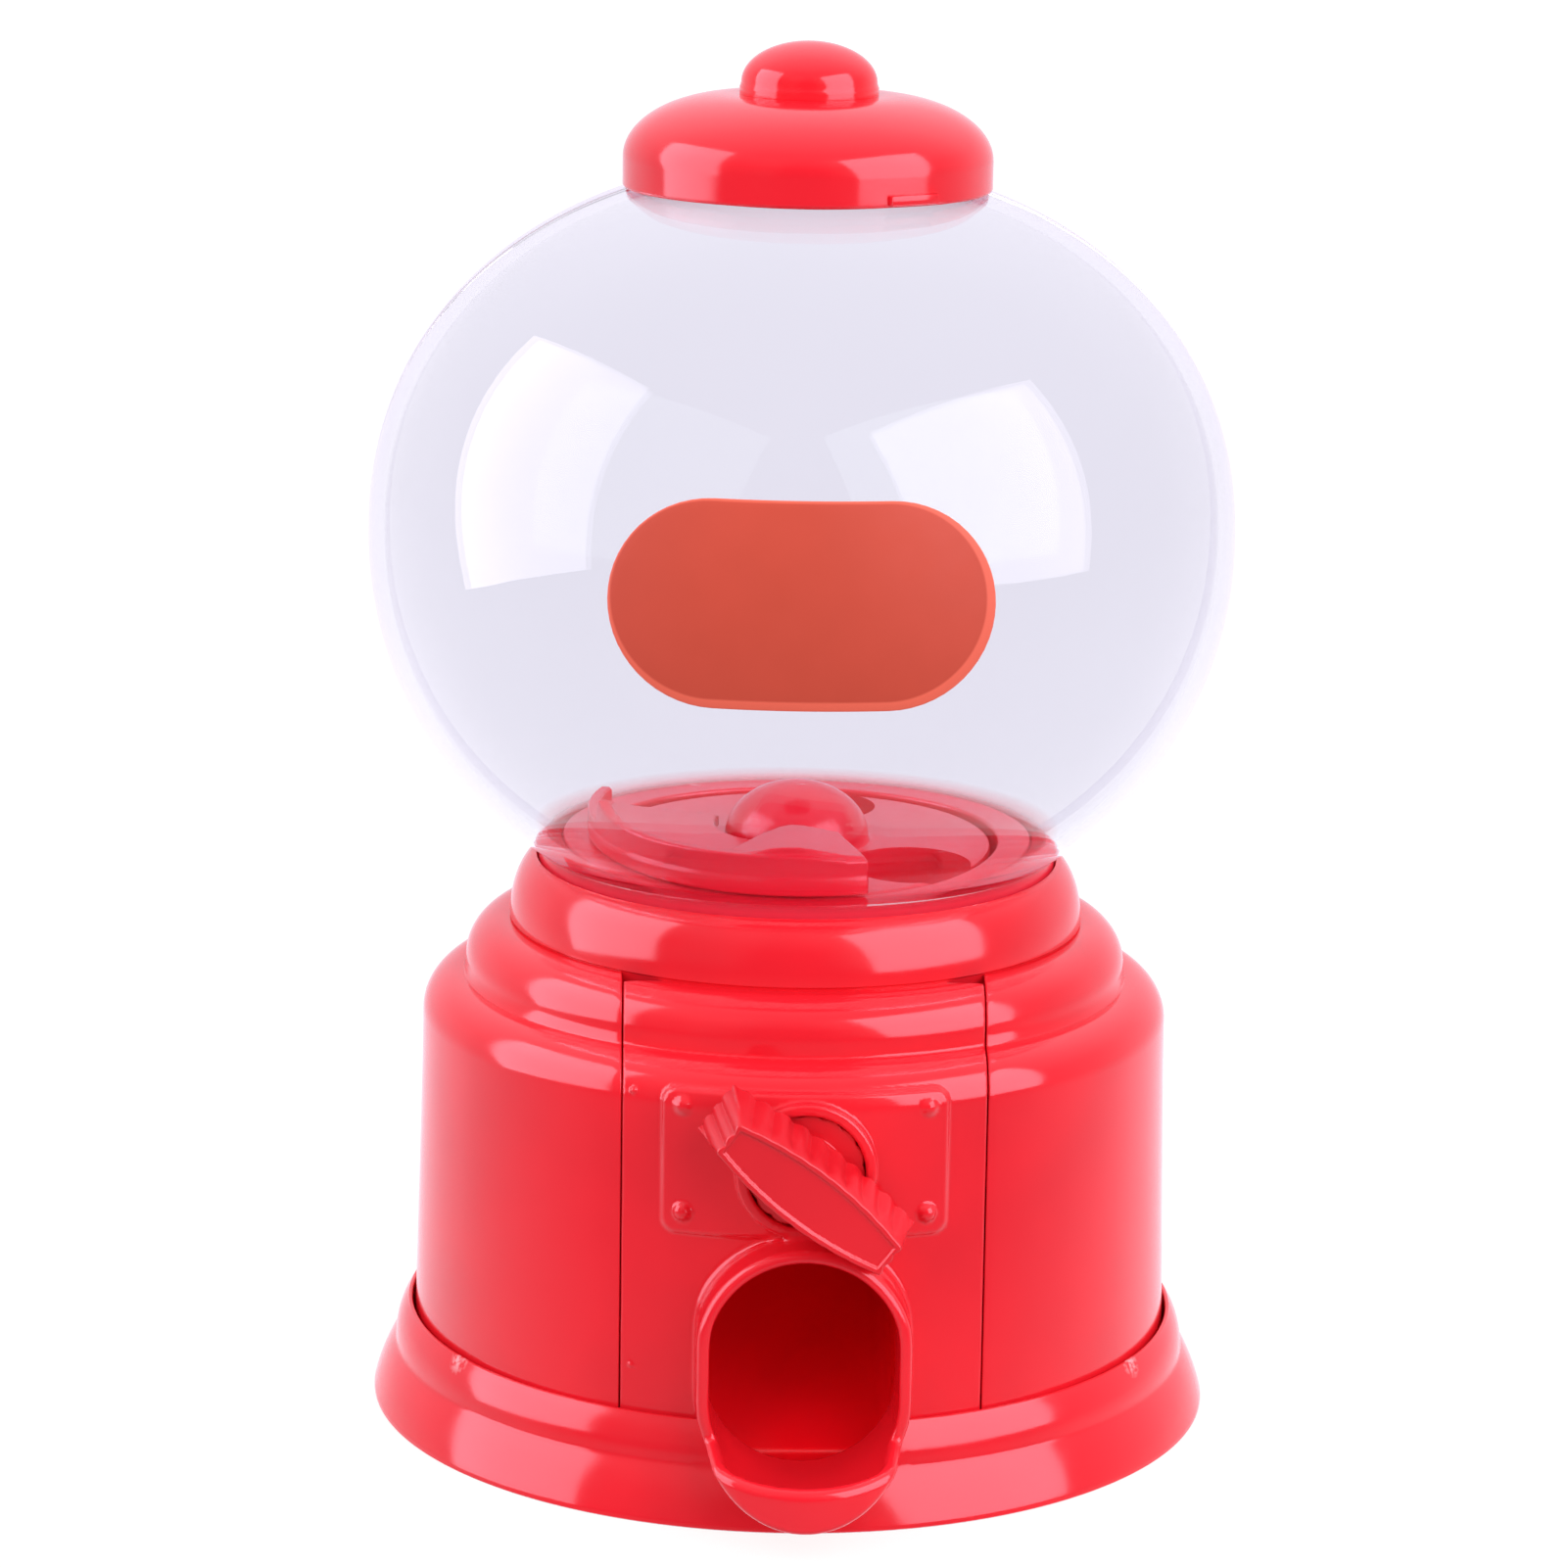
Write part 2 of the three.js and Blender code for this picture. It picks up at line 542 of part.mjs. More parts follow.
// Slide from under the outlet down to the spout, as wide as the spout's hollow at its front
function chuteRamp() {
  const plan = [[10.6, -33.7], [10.6, 4], [-21.5, 4], [-21.5, -12], [-10.6, -33.7]];
  const inner = [[9.25, -40], [9.25, 2.6], [-20.1, 2.6], [-20.1, -11.7], [-9.25, -33.4], [-9.25, -40]];
  const thickness = 1.6;
  const below = (nearZ, farZ) => pushedAlongX(polygon([[-42, nearZ], [4, farZ], [4, -9], [-42, -9]]), -30, 30);
  const [floorNearZ, floorFarZ, wallNearZ, wallFarZ] = [1.2, 23, 27, 31];
  const filled = raised(polygon(plan), BODY_BOTTOM_Z, 40);
  const walls = filled.subtract(raised(polygon(inner), 0, 41)).intersect(below(wallNearZ, wallFarZ));
  const underside = below(floorNearZ - thickness, floorFarZ - thickness);
  const floor = filled.intersect(below(floorNearZ, floorFarZ).subtract(underside));
  return walls.subtract(underside).add(floor);
}

// ---- Assembly ----
const gumballMachine = new THREE.Group();

function place(parent, name, made, material) {
  const mesh = new THREE.Mesh(geometryOf(made), material);
  mesh.name = name;
  parent.add(mesh);
  return mesh;
}

const body = new THREE.Group();
gumballMachine.add(body);
place(body, "base_plinth", basePlinth(), RED);
place(body, "housing", housing(), RED);
place(body, "front_panel", frontPanel(), RED);
place(body, "chute_ramp", chuteRamp(), INNER_RED);
place(body, "hopper", hopper(), INNER_RED);
place(body, "guard_hood", guardHood(), INNER_RED);
place(body, "bearing_cap", bearingCap(), INNER_RED);
place(body, "globe_front", globeHalf(true), CLEAR);
place(body, "globe_rear", globeHalf(false), CLEAR);
place(body, "label", label(), LABEL_RED);

HOPPER_SCREWS.angles.forEach((degrees, index) => {
  const mesh = place(body, `hopper_screw_${index + 1}`, screw(0.9, 3.3, 1.8, 1.3), STEEL);
  const [x, y] = polar(HOPPER_SCREWS.radius, degrees);
  mesh.position.set(x, y, CUP.floorZ - GAP);
});

[-1, 1].forEach((side, index) => {
  const mesh = place(body, `bearing_screw_${index + 1}`, screw(0.8, 8, 1.6, 1.2), STEEL);
  mesh.position.set(side * BEARING.screwX, (BEARING.frontY + BEARING.backY) / 2, CAP.bottomZ - GAP);
});

// Everything on the knob's axis turns together about Y
const knobGroup = new THREE.Group();
knobGroup.position.set(0, 0, AXLE_Z);
gumballMachine.add(knobGroup);
const grip = place(knobGroup, "knob", knob(), RED);
grip.position.y = KNOB.backY;
grip.rotation.y = KNOB_REST_TILT;
const shaft = place(knobGroup, "knob_shaft", knobShaft(), INNER_RED);
shaft.position.y = KNOB.backY - 0.7;
shaft.rotation.y = KNOB_REST_TILT;
const pinion = place(knobGroup, "drive_pinion", drivePinion(), WHITE);
pinion.position.y = PINION.nearY;
const pinionScrew = place(knobGroup, "pinion_screw", screw(0.9, 5.5, 2.1, 1.3), STEEL);
pinionScrew.position.y = PINION.nearY + GAP;
pinionScrew.rotation.x = Math.PI / 2;

// The wheel, its gear and the screw that holds them turn together about Z
const rotorGroup = new THREE.Group();
gumballMachine.add(rotorGroup);
place(rotorGroup, "rotor", rotor(), INNER_RED);
place(rotorGroup, "crown_gear", crownGear(), WHITE);
const rotorScrew = place(rotorGroup, "rotor_screw", screw(0.9, 7, 2.9, 1.2), STEEL);
rotorScrew.position.z = CROWN.discZ - GAP;

// The lid and its finial lift off together
const lidGroup = new THREE.Group();
gumballMachine.add(lidGroup);
place(lidGroup, "lid", lid(), RED);
place(lidGroup, "lid_knob", lidKnob(), RED);

export default gumballMachine;
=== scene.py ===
import math

import bmesh
import bpy
import numpy as np
from mathutils import Matrix, Vector

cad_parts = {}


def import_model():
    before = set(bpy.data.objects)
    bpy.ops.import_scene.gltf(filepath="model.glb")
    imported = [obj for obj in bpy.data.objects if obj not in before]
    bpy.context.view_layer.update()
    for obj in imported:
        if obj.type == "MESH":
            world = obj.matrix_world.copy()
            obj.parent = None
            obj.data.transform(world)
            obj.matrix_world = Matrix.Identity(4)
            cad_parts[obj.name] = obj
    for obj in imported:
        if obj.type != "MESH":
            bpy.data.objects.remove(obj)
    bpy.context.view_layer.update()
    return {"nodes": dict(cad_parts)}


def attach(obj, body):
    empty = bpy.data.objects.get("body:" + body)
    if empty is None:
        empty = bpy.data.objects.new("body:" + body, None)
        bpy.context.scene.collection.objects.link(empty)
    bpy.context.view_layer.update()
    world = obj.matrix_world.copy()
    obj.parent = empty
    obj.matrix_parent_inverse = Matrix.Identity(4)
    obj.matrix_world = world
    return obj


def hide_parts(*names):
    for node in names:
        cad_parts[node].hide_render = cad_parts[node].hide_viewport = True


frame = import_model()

# The looks of a table-top gumball dispenser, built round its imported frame. Shapes are worked out in
# millimetres, +Z up, with the front facing -Y, and are turned into metres where a mesh is made.
MM = 0.001

# ---- Driving dimensions ----
GLOBE = dict(radius=42.9, mid_z=89.0, up=36.8, up_power=2.13, down=39.2, down_power=2.06, wall=1.6)
GLOBE_NECK_R = 25.9
GLOBE_NECK_Z = 54.7
MOUTH_R = 15.6
HALF_GAP = 0.15  # from each half of the globe to the seam's plane

LOWER_STEP = dict(r=37.5, top=44.3, corner=4.1)
MIDDLE_STEP = dict(r=33.2, top=49.9, corner=4.2)
DRAFT = 0.0298  # spread of the skirt for each millimetre down, once past the ease
DRAFT_EASE = 6.0
DRAFT_STOP_Z = 9.5
BODY_BOTTOM_Z = 2.1
LEDGE = dict(inner_r=24.0, bottom_z=48.3, top_z=54.4)  # shelf that carries the globe's neck
RING = dict(inner_r=26.05, crown_r=25.2, top_z=56.6, base_r=28.8, base_z=50.0)
PLINTH = dict(lip_z=9.75, lip_r=38.95, inner_r=38.6, floor_z=1.8)
SNAP_ANGLES = (-148, -32, 32, 148)  # from +X, round the plinth

PANEL_EDGE = 17.38  # the two upright seams run between these two edges
DOORWAY_EDGE = 17.48
PANEL_TOP_Z = 49.7
PANEL_BACK_R = 27.8
PANEL_LIP = dict(r=34.62, half_thick=0.62, edge=20.0, inner=15.2, middle_z=24.45, half_height=11.55)
PANEL_LIP_ROOT = dict(low_r=34.0, high_r=36.9, edge=17.0)
PIP = dict(x=-16.3, high_z=41.3, low_z=14.1, r=0.34)  # ejector marks down the panel's left edge

AXLE_Z = 34.8
HOLE_R = 5.6
COLLAR = dict(r=6.7, front_y=-39.1)
COIN_PLATE = dict(half_width=13.6, low_z=27.9, high_z=42.15, corner=1.4, low_height=0.32, high_height=0.55)
RIVET = dict(x=11.55, low_z=30.1, high_z=40.5, r=0.95)

SPOUT = dict(half_width=10.35, low_z=3.2, high_z=28.25, wall=1.2, front_y=-42.7, lip_y=-51.0)
TRAY_RIM = dict(back_z=9.6, slope=0.27)

KNOB = dict(
    back_y=-39.4, front_y=-47.2, tilt=math.radians(37.8),
    hub_r=3.4, hub_length=4.2, flange_r=5.6, bore_r=2.9,
)
KNOB_BASE = dict(length=11.1, middle=3.75, end=2.75)
KNOB_FACE = dict(length=9.7, middle=2.95, end=1.7)
RIDGE_PITCH = 2.1

LID = dict(rim_r=18.1, rim_z=123.45, top_z=132.3, skin_z=129.9, plug_r=15.2, plug_z=121.9)
FINIAL = dict(seat_z=132.1, r=6.8, top_z=137.45, stem_r=2.2)
LABEL = dict(centre_x=-1.4, half_length=17.8, low_z=80.1, high_z=99.55, inner=0.2, outer=0.5)

CUP = dict(
    floor_z=46.3, floor_top=48.0, rim_z=57.5,
    hole_r=2.9, inner_r=20.5, outer_r=21.8, lip_r=24.0, flange_r=27.0,
)
ROTOR = dict(r=19.8, bottom_z=48.4, top_z=57.2, dome_r=7.3, dome_top=63.4)
POCKET = dict(r=6.2, offset=14.2, angles=(320, 200, 80))
OUTLET = dict(r=6.0, angle=203)
HOOD = dict(
    start=160, wall_start=198, end=287, inner_r=8.3, outer_r=21.2,
    bottom_z=57.8, roof_z=59.1, top_z=61.5,
)
CHUTE = dict(
    right_x=10.6, left_x=-21.5, front_x=-10.6,
    front_y=-33.7, bend_y=-12.0, back_y=4.0, wall=1.35, floor=1.6,
)
CHUTE_FLOOR_Z = (1.2, 23.0)  # at the two ends of CHUTE_SPAN_Y
CHUTE_RIM_Z = (27.0, 31.0)
CHUTE_SPAN_Y = (-42.0, 4.0)


# ---- Meshes ----
def linked(name, data):
    """A new object in the scene."""
    made = bpy.data.objects.new(name, data)
    bpy.context.scene.collection.objects.link(made)
    return made


def piece(name, vertices, faces, material, body, slot, replaced, sharp=math.radians(38), normals=None):
    """One smooth-shaded object from points in millimetres, riding on a body and standing for CAD nodes."""
    mesh = bpy.data.meshes.new(name)
    mesh.from_pydata(np.asarray(vertices, float) * MM, [], faces)
    mesh.validate()
    mesh.shade_smooth()
    if normals is None:
        mesh.set_sharp_from_angle(angle=sharp)
    else:
        mesh.normals_split_custom_set_from_vertices(normals)
    made = linked(name, mesh)
    mesh.materials.append(material)
    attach(made, body)
    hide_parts(*replaced)
    return made


def merged(parts):
    """Several (vertices, faces) pairs as one."""
    vertices, faces, start = [], [], 0
    for points, polygons in parts:
        vertices.append(np.asarray(points, float))
        faces.extend([tuple(i + start for i in polygon) for polygon in polygons])
        start += len(points)
    return np.concatenate(vertices), faces


def welded(vertices, faces, distance=1e-4):
    """Points that meet are joined, and faces that shrink to nothing go."""
    mesh = bpy.data.meshes.new("weld")
    mesh.from_pydata(np.asarray(vertices, float), [], faces)
    work = bmesh.new()
    work.from_mesh(mesh)
    bmesh.ops.remove_doubles(work, verts=work.verts, dist=distance)
    bmesh.ops.dissolve_degenerate(work, dist=distance, edges=work.edges)
    bmesh.ops.recalc_face_normals(work, faces=work.faces)
    work.to_mesh(mesh)
    work.free()
    points = np.array([v.co for v in mesh.vertices])
    polygons = [tuple(p.vertices) for p in mesh.polygons]
    bpy.data.meshes.remove(mesh)
    return points, polygons


def grid_faces(rows, columns, wrap_rows=False, wrap_columns=False, start=0):
    faces = []
    for i in range(rows if wrap_rows else rows - 1):
        for j in range(columns if wrap_columns else columns - 1):
            i2, j2 = (i + 1) % rows, (j + 1) % columns
            corners = (i * columns + j, i * columns + j2, i2 * columns + j2, i2 * columns + j)
            faces.append(tuple(start + c for c in corners))
    return faces


# ---- Outlines of [radius, height] points ----
def arc(centre, radius, start, end, steps):
    angles = np.radians(np.linspace(start, end, steps + 1))
    return [(centre[0] + radius * math.cos(a), centre[1] + radius * math.sin(a)) for a in angles]


def bulged(a, b, rise, steps):
    """A shallow arc from a to b that stands out to the right of the way by rise."""
    a, b = np.array(a, float), np.array(b, float)
    along = b - a
    across = np.array([along[1], -along[0]]) / np.hypot(*along)
    shares = np.linspace(0, 1, steps + 1)
    return [tuple(a + along * t + across * rise * 4 * t * (1 - t)) for t in shares]


def softened(points, radii, closed=True, steps=5):
    """The outline with its corners turned into arcs. radii has one radius a point, 0 for none."""
    points = [np.array(p, float) for p in points]
    count, made = len(points), []
    for i, corner in enumerate(points):
        radius = radii[i]
        ends = not closed and i in (0, count - 1)
        if radius <= 0 or ends:
            made.append(tuple(corner))
            continue
        before = points[i - 1] - corner
        after = points[(i + 1) % count] - corner
        length_before, length_after = np.hypot(*before), np.hypot(*after)
        before, after = before / length_before, after / length_after
        half = math.acos(np.clip(before @ after, -1, 1)) / 2
        if half > math.radians(88):
            made.append(tuple(corner))
            continue
        setback = min(radius / math.tan(half), 0.48 * length_before, 0.48 * length_after)
        p, q = corner + before * setback, corner + after * setback
        for step in range(steps + 1):
            t = step / steps
            made.append(tuple((1 - t) ** 2 * p + 2 * t * (1 - t) * corner + t * t * q))
    return made


def supported(points, closed=True, reach=0.12, longest=3.0):
    """Extra points near the ends of each long straight stretch, so that smooth shading stays flat there."""
    made, count = [], len(points)
    for i in range(count):
        a = np.array(points[i], float)
        made.append(tuple(a))
        if not closed and i == count - 1:
            break
        b = np.array(points[(i + 1) % count], float)
        length = np.hypot(*(b - a))
        if length < 4 * reach:
            continue
        unit = (b - a) / length
        inner = np.linspace(reach, length - reach, max(2, int(length / longest) + 1))
        made.extend(tuple(a + unit * t) for t in inner)
    return made


# ---- Turned shapes ----
def turned(outline, segments=192, wrap=False):
    """A full turn of an outline: with wrap a closed loop, and else one that starts and ends on the axis."""
    outline = np.array(outline, float)
    angles = np.linspace(0, 2 * math.pi, segments, endpoint=False)
    r, z = outline[:, :1], outline[:, 1:]
    x, y = r * np.cos(angles), r * np.sin(angles)
    points = np.stack([x, y, np.broadcast_to(z, x.shape)], -1).reshape(-1, 3)
    return welded(points, grid_faces(len(outline), segments, wrap, True))


def swept(loop, start, end, offset, segments, edge=0.2, edge_steps=4):
    """A closed outline swept about the axis from start to end (radians) and cut off by two upright planes
    that lie offset from the axis. The cut edges are rounded."""
    loop = np.array(loop, float)
    ahead, behind = np.roll(loop, -1, 0), np.roll(loop, 1, 0)
    along = ahead - behind
    outward = np.stack([along[:, 1], -along[:, 0]], -1) / np.maximum(np.hypot(*along.T), 1e-9)[:, None]
    area = np.sum(loop[:, 0] * ahead[:, 1] - ahead[:, 0] * loop[:, 1])
    outward *= math.copysign(1, area)
    shares = np.linspace(0, 1, segments + 1)
    turns = np.linspace(0, math.pi / 2, edge_steps + 1)
    rims = [(offset + edge * (1 - math.cos(a)), edge * (1 - math.sin(a))) for a in turns]
    columns = [(0.0, reach, inset) for reach, inset in rims]
    columns += [(t, offset + edge, 0.0) for t in shares[1:-1]]
    columns += [(1.0, reach, inset) for reach, inset in reversed(rims)]
    points = np.zeros((len(loop), len(columns), 3))
    for j, (share, reach, inset) in enumerate(columns):
        moved = loop - outward * inset
        r = moved[:, 0]
        lead = np.arcsin(np.clip(reach / r, -1, 1))
        angle = (start + lead) * (1 - share) + (end - lead) * share
        points[:, j] = np.stack([r * np.cos(angle), r * np.sin(angle), moved[:, 1]], -1)
    rows, count = len(loop), len(columns)
    faces = grid_faces(rows, count, wrap_rows=True)
    faces.append(tuple(i * count for i in range(rows)))
    faces.append(tuple(i * count + count - 1 for i in reversed(range(rows))))
    return welded(points.reshape(-1, 3), faces)


# ---- Shapes given by a distance field ----
def union(a, b, fillet=0.0):
    """Both shapes, with a fillet where they meet."""
    if fillet <= 0:
        return np.minimum(a, b)
    inner = np.hypot(np.maximum(fillet - a, 0), np.maximum(fillet - b, 0))
    return np.maximum(fillet, np.minimum(a, b)) - inner


def common(a, b, edge=0.0):
    """What two shapes share, with a rounded edge where they cross."""
    if edge <= 0:
        return np.maximum(a, b)
    outer = np.hypot(np.maximum(a + edge, 0), np.maximum(b + edge, 0))
    return np.minimum(-edge, np.maximum(a, b)) + outer


def step_between(low, high, value):
    t = np.clip((value - low) / (high - low), 0, 1)
    return t * t * (3 - 2 * t)


def gradient(field, points, reach=0.02):
    made = np.zeros_like(points)
    for axis in range(3):
        ahead, behind = points.copy(), points.copy()
        ahead[:, axis] += reach
        behind[:, axis] -= reach
        made[:, axis] = (field(*ahead.T) - field(*behind.T)) / (2 * reach)
    return made


def sides(value, axis):
    """The values at the near and at the far end of each grid edge along an axis."""
    near, far = [slice(None)] * 3, [slice(None)] * 3
    near[axis], far[axis] = slice(None, -1), slice(1, None)
    return value[tuple(near)], value[tuple(far)]


def field_mesh(field, low, high, cell):
    """Points, quads and normals of the surface where the field is zero."""
    low = np.array(low, float)
    axes = [np.arange(low[k], high[k] + cell, cell) for k in range(3)]
    value = field(*np.meshgrid(*axes, indexing="ij"))
    value[np.abs(value) < 1e-6] = 1e-6
    inside = value < 0
    count = np.zeros([n - 1 for n in inside.shape], np.int8)
    corners = [(i, j, k) for i in (0, 1) for j in (0, 1) for k in (0, 1)]
    for i, j, k in corners:
        count += inside[i : i + count.shape[0], j : j + count.shape[1], k : k + count.shape[2]]
    mixed = (count > 0) & (count < 8)
    index = np.full(mixed.shape, -1)
    index[mixed] = np.arange(mixed.sum())
    cells = np.argwhere(mixed)
    total, crossings = np.zeros(cells.shape), np.zeros((len(cells), 1))
    for a in corners:
        for b in corners:
            if sum(np.subtract(b, a)) != 1 or min(np.subtract(b, a)) < 0:
                continue
            near, far = value[tuple((cells + a).T)], value[tuple((cells + b).T)]
            crossed = ((near < 0) != (far < 0))[:, None]
            share = np.where(crossed[:, 0], near / np.where(near == far, 1, near - far), 0)[:, None]
            total += np.where(crossed, np.array(a) + share * np.subtract(b, a), 0)
            crossings += crossed
    points = low + (cells + total / crossings) * cell
    faces = []
    for axis in range(3):
        u, v = (axis + 1) % 3, (axis + 2) % 3
        near, far = sides(inside, axis)
        for entering in (True, False):
            edges = np.argwhere((near != far) & (near == entering))
            within = (edges > 0) & (edges < np.array(inside.shape) - 1)
            edges = edges[within[:, u] & within[:, v]]
            back_u, back_v = np.eye(3, dtype=int)[u], np.eye(3, dtype=int)[v]
            quad = [edges - back_u - back_v, edges - back_v, edges, edges - back_u]
            quad = np.stack([index[tuple(q.T)] for q in quad], -1)
            faces.append(quad if entering else quad[:, ::-1])
    faces = np.concatenate(faces)
    faces = faces[(faces >= 0).all(1)]
    for _ in range(3):
        slope = gradient(field, points)
        steep = np.maximum((slope**2).sum(1), 0.2)
        step = -field(*points.T)[:, None] * slope / steep[:, None]
        points += np.clip(step, -cell / 2, cell / 2)
    slope = gradient(field, points)
    normals = slope / np.maximum(np.linalg.norm(slope, axis=1), 1e-9)[:, None]
    return points, faces.tolist(), normals


def field_piece(name, field, low, high, cells, material, slot):
    points, faces, normals = field_mesh(field, low, high, cells[1])
    piece(name, points, faces, material, "body", slot, [name], normals=normals)


# ---- Materials ----
def shader(name):
    material = bpy.data.materials.new(name)
    material.use_nodes = True
    tree = material.node_tree
    return material, tree, tree.nodes["Principled BSDF"]


def node(tree, kind, **settings):
    made = tree.nodes.new(kind)
    for key, value in settings.items():
        setattr(made, key, value)
    return made


def feed(tree, socket, value):
    """Links another node's output to a socket, or sets the socket's own value."""
    if isinstance(value, bpy.types.NodeSocket):
        tree.links.new(value, socket)
    else:
        socket.default_value = value


def feed_all(tree, made, values):
    for name, value in values.items():
        feed(tree, made.inputs[name], value)


def calculated(tree, operation, *values, **settings):
    made = node(tree, "ShaderNodeMath", operation=operation, **settings)
    for socket, value in zip(made.inputs, values):
        feed(tree, socket, value)
    return made.outputs[0]


def own_place(tree):
    return node(tree, "ShaderNodeTexCoord").outputs["Object"]


def distance_from(tree, vector, point=(0, 0, 0)):
    made = node(tree, "ShaderNodeVectorMath", operation="DISTANCE")
    feed(tree, made.inputs[0], vector)
    feed(tree, made.inputs[1], point)
    return made.outputs["Value"]


def split_place(tree, vector):
    made = node(tree, "ShaderNodeSeparateXYZ")
    feed(tree, made.inputs[0], vector)
    return made.outputs


def noise(tree, scale, detail=3.0, stretch=(1, 1, 1)):
    """Noise in the piece's own space. scale is in waves a metre."""
    mapping = node(tree, "ShaderNodeMapping")
    feed_all(tree, mapping, {"Vector": own_place(tree), "Scale": stretch})
    made = node(tree, "ShaderNodeTexNoise")
    feed_all(tree, made, {"Vector": mapping.outputs["Vector"], "Scale": scale, "Detail": detail})
    return made.outputs["Fac"]


def ramp(tree, source, low, high, start=0.0, end=1.0):
    """Goes from start to end as the source goes from low to high."""
    made = node(tree, "ShaderNodeMapRange")
    ends = {"From Min": low, "From Max": high, "To Min": start, "To Max": end}
    feed_all(tree, made, {"Value": source, **ends})
    return made.outputs["Result"]


def blend_colours(tree, share, first, second):
    made = node(tree, "ShaderNodeMix", data_type="RGBA")
    feed(tree, made.inputs["Factor"], share)
    for socket, colour in ((made.inputs[6], first), (made.inputs[7], second)):
        feed(tree, socket, (*colour, 1) if isinstance(colour, tuple) else colour)
    return made.outputs[2]


def mottled(tree, scale, detail, first, second):
    """Two colours in soft patches."""
    return blend_colours(tree, ramp(tree, noise(tree, scale, detail), 0.3, 0.7), first, second)


def blend_shaders(tree, share, first, second):
    made = node(tree, "ShaderNodeMixShader")
    for socket, source in zip(made.inputs, (share, first, second)):
        tree.links.new(source, socket)
    return made.outputs[0]


def bump(tree, layers):
    """A chain of bumps. Each layer is (height socket, distance in metres, strength)."""
    previous = None
    for height, distance, strength in layers:
        made = node(tree, "ShaderNodeBump")
        feed_all(tree, made, {"Height": height, "Distance": distance, "Strength": strength})
        if previous:
            tree.links.new(previous, made.inputs["Normal"])
        previous = made.outputs["Normal"]
    return previous


def plastic(name, colour, roughness, tone=0.06, waviness=1.0, marks=()):
    """Moulded plastic: faint flow marks in its colour, uneven gloss, fine scratches and a wavy skin.
    marks are places (metres) where bending has whitened it."""
    material, tree, bsdf = shader(name)
    deep = tuple(c * (1 - tone) for c in colour)
    pale = tuple(min(1, c * (1 + tone)) for c in colour)
    skin = blend_colours(tree, ramp(tree, noise(tree, 55, 2), 0.35, 0.65), deep, pale)
    scratches = ramp(tree, noise(tree, 320, 2, (1, 1, 14)), 0.68, 0.78)
    layers = [
        (noise(tree, 90, 1), 0.00006 * waviness, 0.5),
        (noise(tree, 1500, 2), 0.000004, 0.5),
        (scratches, 0.000004, 0.25),
    ]
    feed_all(tree, bsdf, {
        "Base Color": whitened(tree, skin, marks),
        "Roughness": ramp(tree, noise(tree, 260, 4), 0.3, 0.7, roughness * 0.85, roughness * 1.2),
        "IOR": 1.5,
        "Normal": bump(tree, layers),
    })
    return material


def whitened(tree, skin, marks):
    """Pale ragged blotches about each marked place."""
    reach = 0.0016
    for mark in marks:
        near = ramp(tree, distance_from(tree, own_place(tree), mark), 0.3 * reach, reach, 0.75, 0.0)
        ragged = ramp(tree, noise(tree, 1900, 4), 0.42, 0.6)
        skin = blend_colours(tree, calculated(tree, "MULTIPLY", near, ragged), skin, (0.9, 0.45, 0.5))
    return skin


def clear_plastic():
    """Clear polystyrene with a lavender cast. Lamps, bounced light and what has already come through the
    near wall pass straight through it. Its neck is partly painted matte red, a painted reflection of the
    ring."""
    material, tree, bsdf = shader("clear_plastic")
    scuffs = ramp(tree, noise(tree, 500, 3, (1, 1, 9)), 0.7, 0.8)
    feed_all(tree, bsdf, {
        "Base Color": mottled(tree, 40, 2, (0.847, 0.842, 0.908), (0.859, 0.854, 0.92)),
        "Roughness": ramp(tree, noise(tree, 700, 3), 0.5, 0.8, 0.0, 0.03),
        "Transmission Weight": 1.0,
        "Specular Tint": (0.36, 0.43, 0.37, 1),
        "IOR": 1.5,
        "Normal": bump(tree, [(noise(tree, 60, 1), 0.00004, 0.35), (scuffs, 0.000003, 0.3)]),
    })
    path = node(tree, "ShaderNodeLightPath").outputs
    straight = ramp(tree, path["Transmission Depth"], 1.4, 1.6)
    trapped = ramp(tree, path["Glossy Depth"], 1.4, 1.6)
    for source in (path["Is Shadow Ray"], path["Is Diffuse Ray"], trapped):
        straight = calculated(tree, "MAXIMUM", source, straight)
    through = node(tree, "ShaderNodeBsdfTransparent")
    feed(tree, through.inputs["Color"], (0.93, 0.92, 0.95, 1))
    wall = blend_shaders(tree, straight, bsdf.outputs[0], through.outputs[0])
    height = split_place(tree, node(tree, "ShaderNodeNewGeometry").outputs["Position"])["Z"]
    # Painted reflection: below the ring's top the glass is mixed with matte red, standing in for the red
    # ring seen through the neck.
    painted_ring_red = node(tree, "ShaderNodeBsdfDiffuse")
    feed(tree, painted_ring_red.inputs["Color"], (0.85, 0.03, 0.06, 1))
    neck = ramp(tree, height, RING["top_z"] * MM, (RING["top_z"] + 1.6) * MM, 0.7, 0.0)
    surface = blend_shaders(tree, neck, wall, painted_ring_red.outputs[0])
    tree.links.new(surface, tree.nodes["Material Output"].inputs["Surface"])
    return material


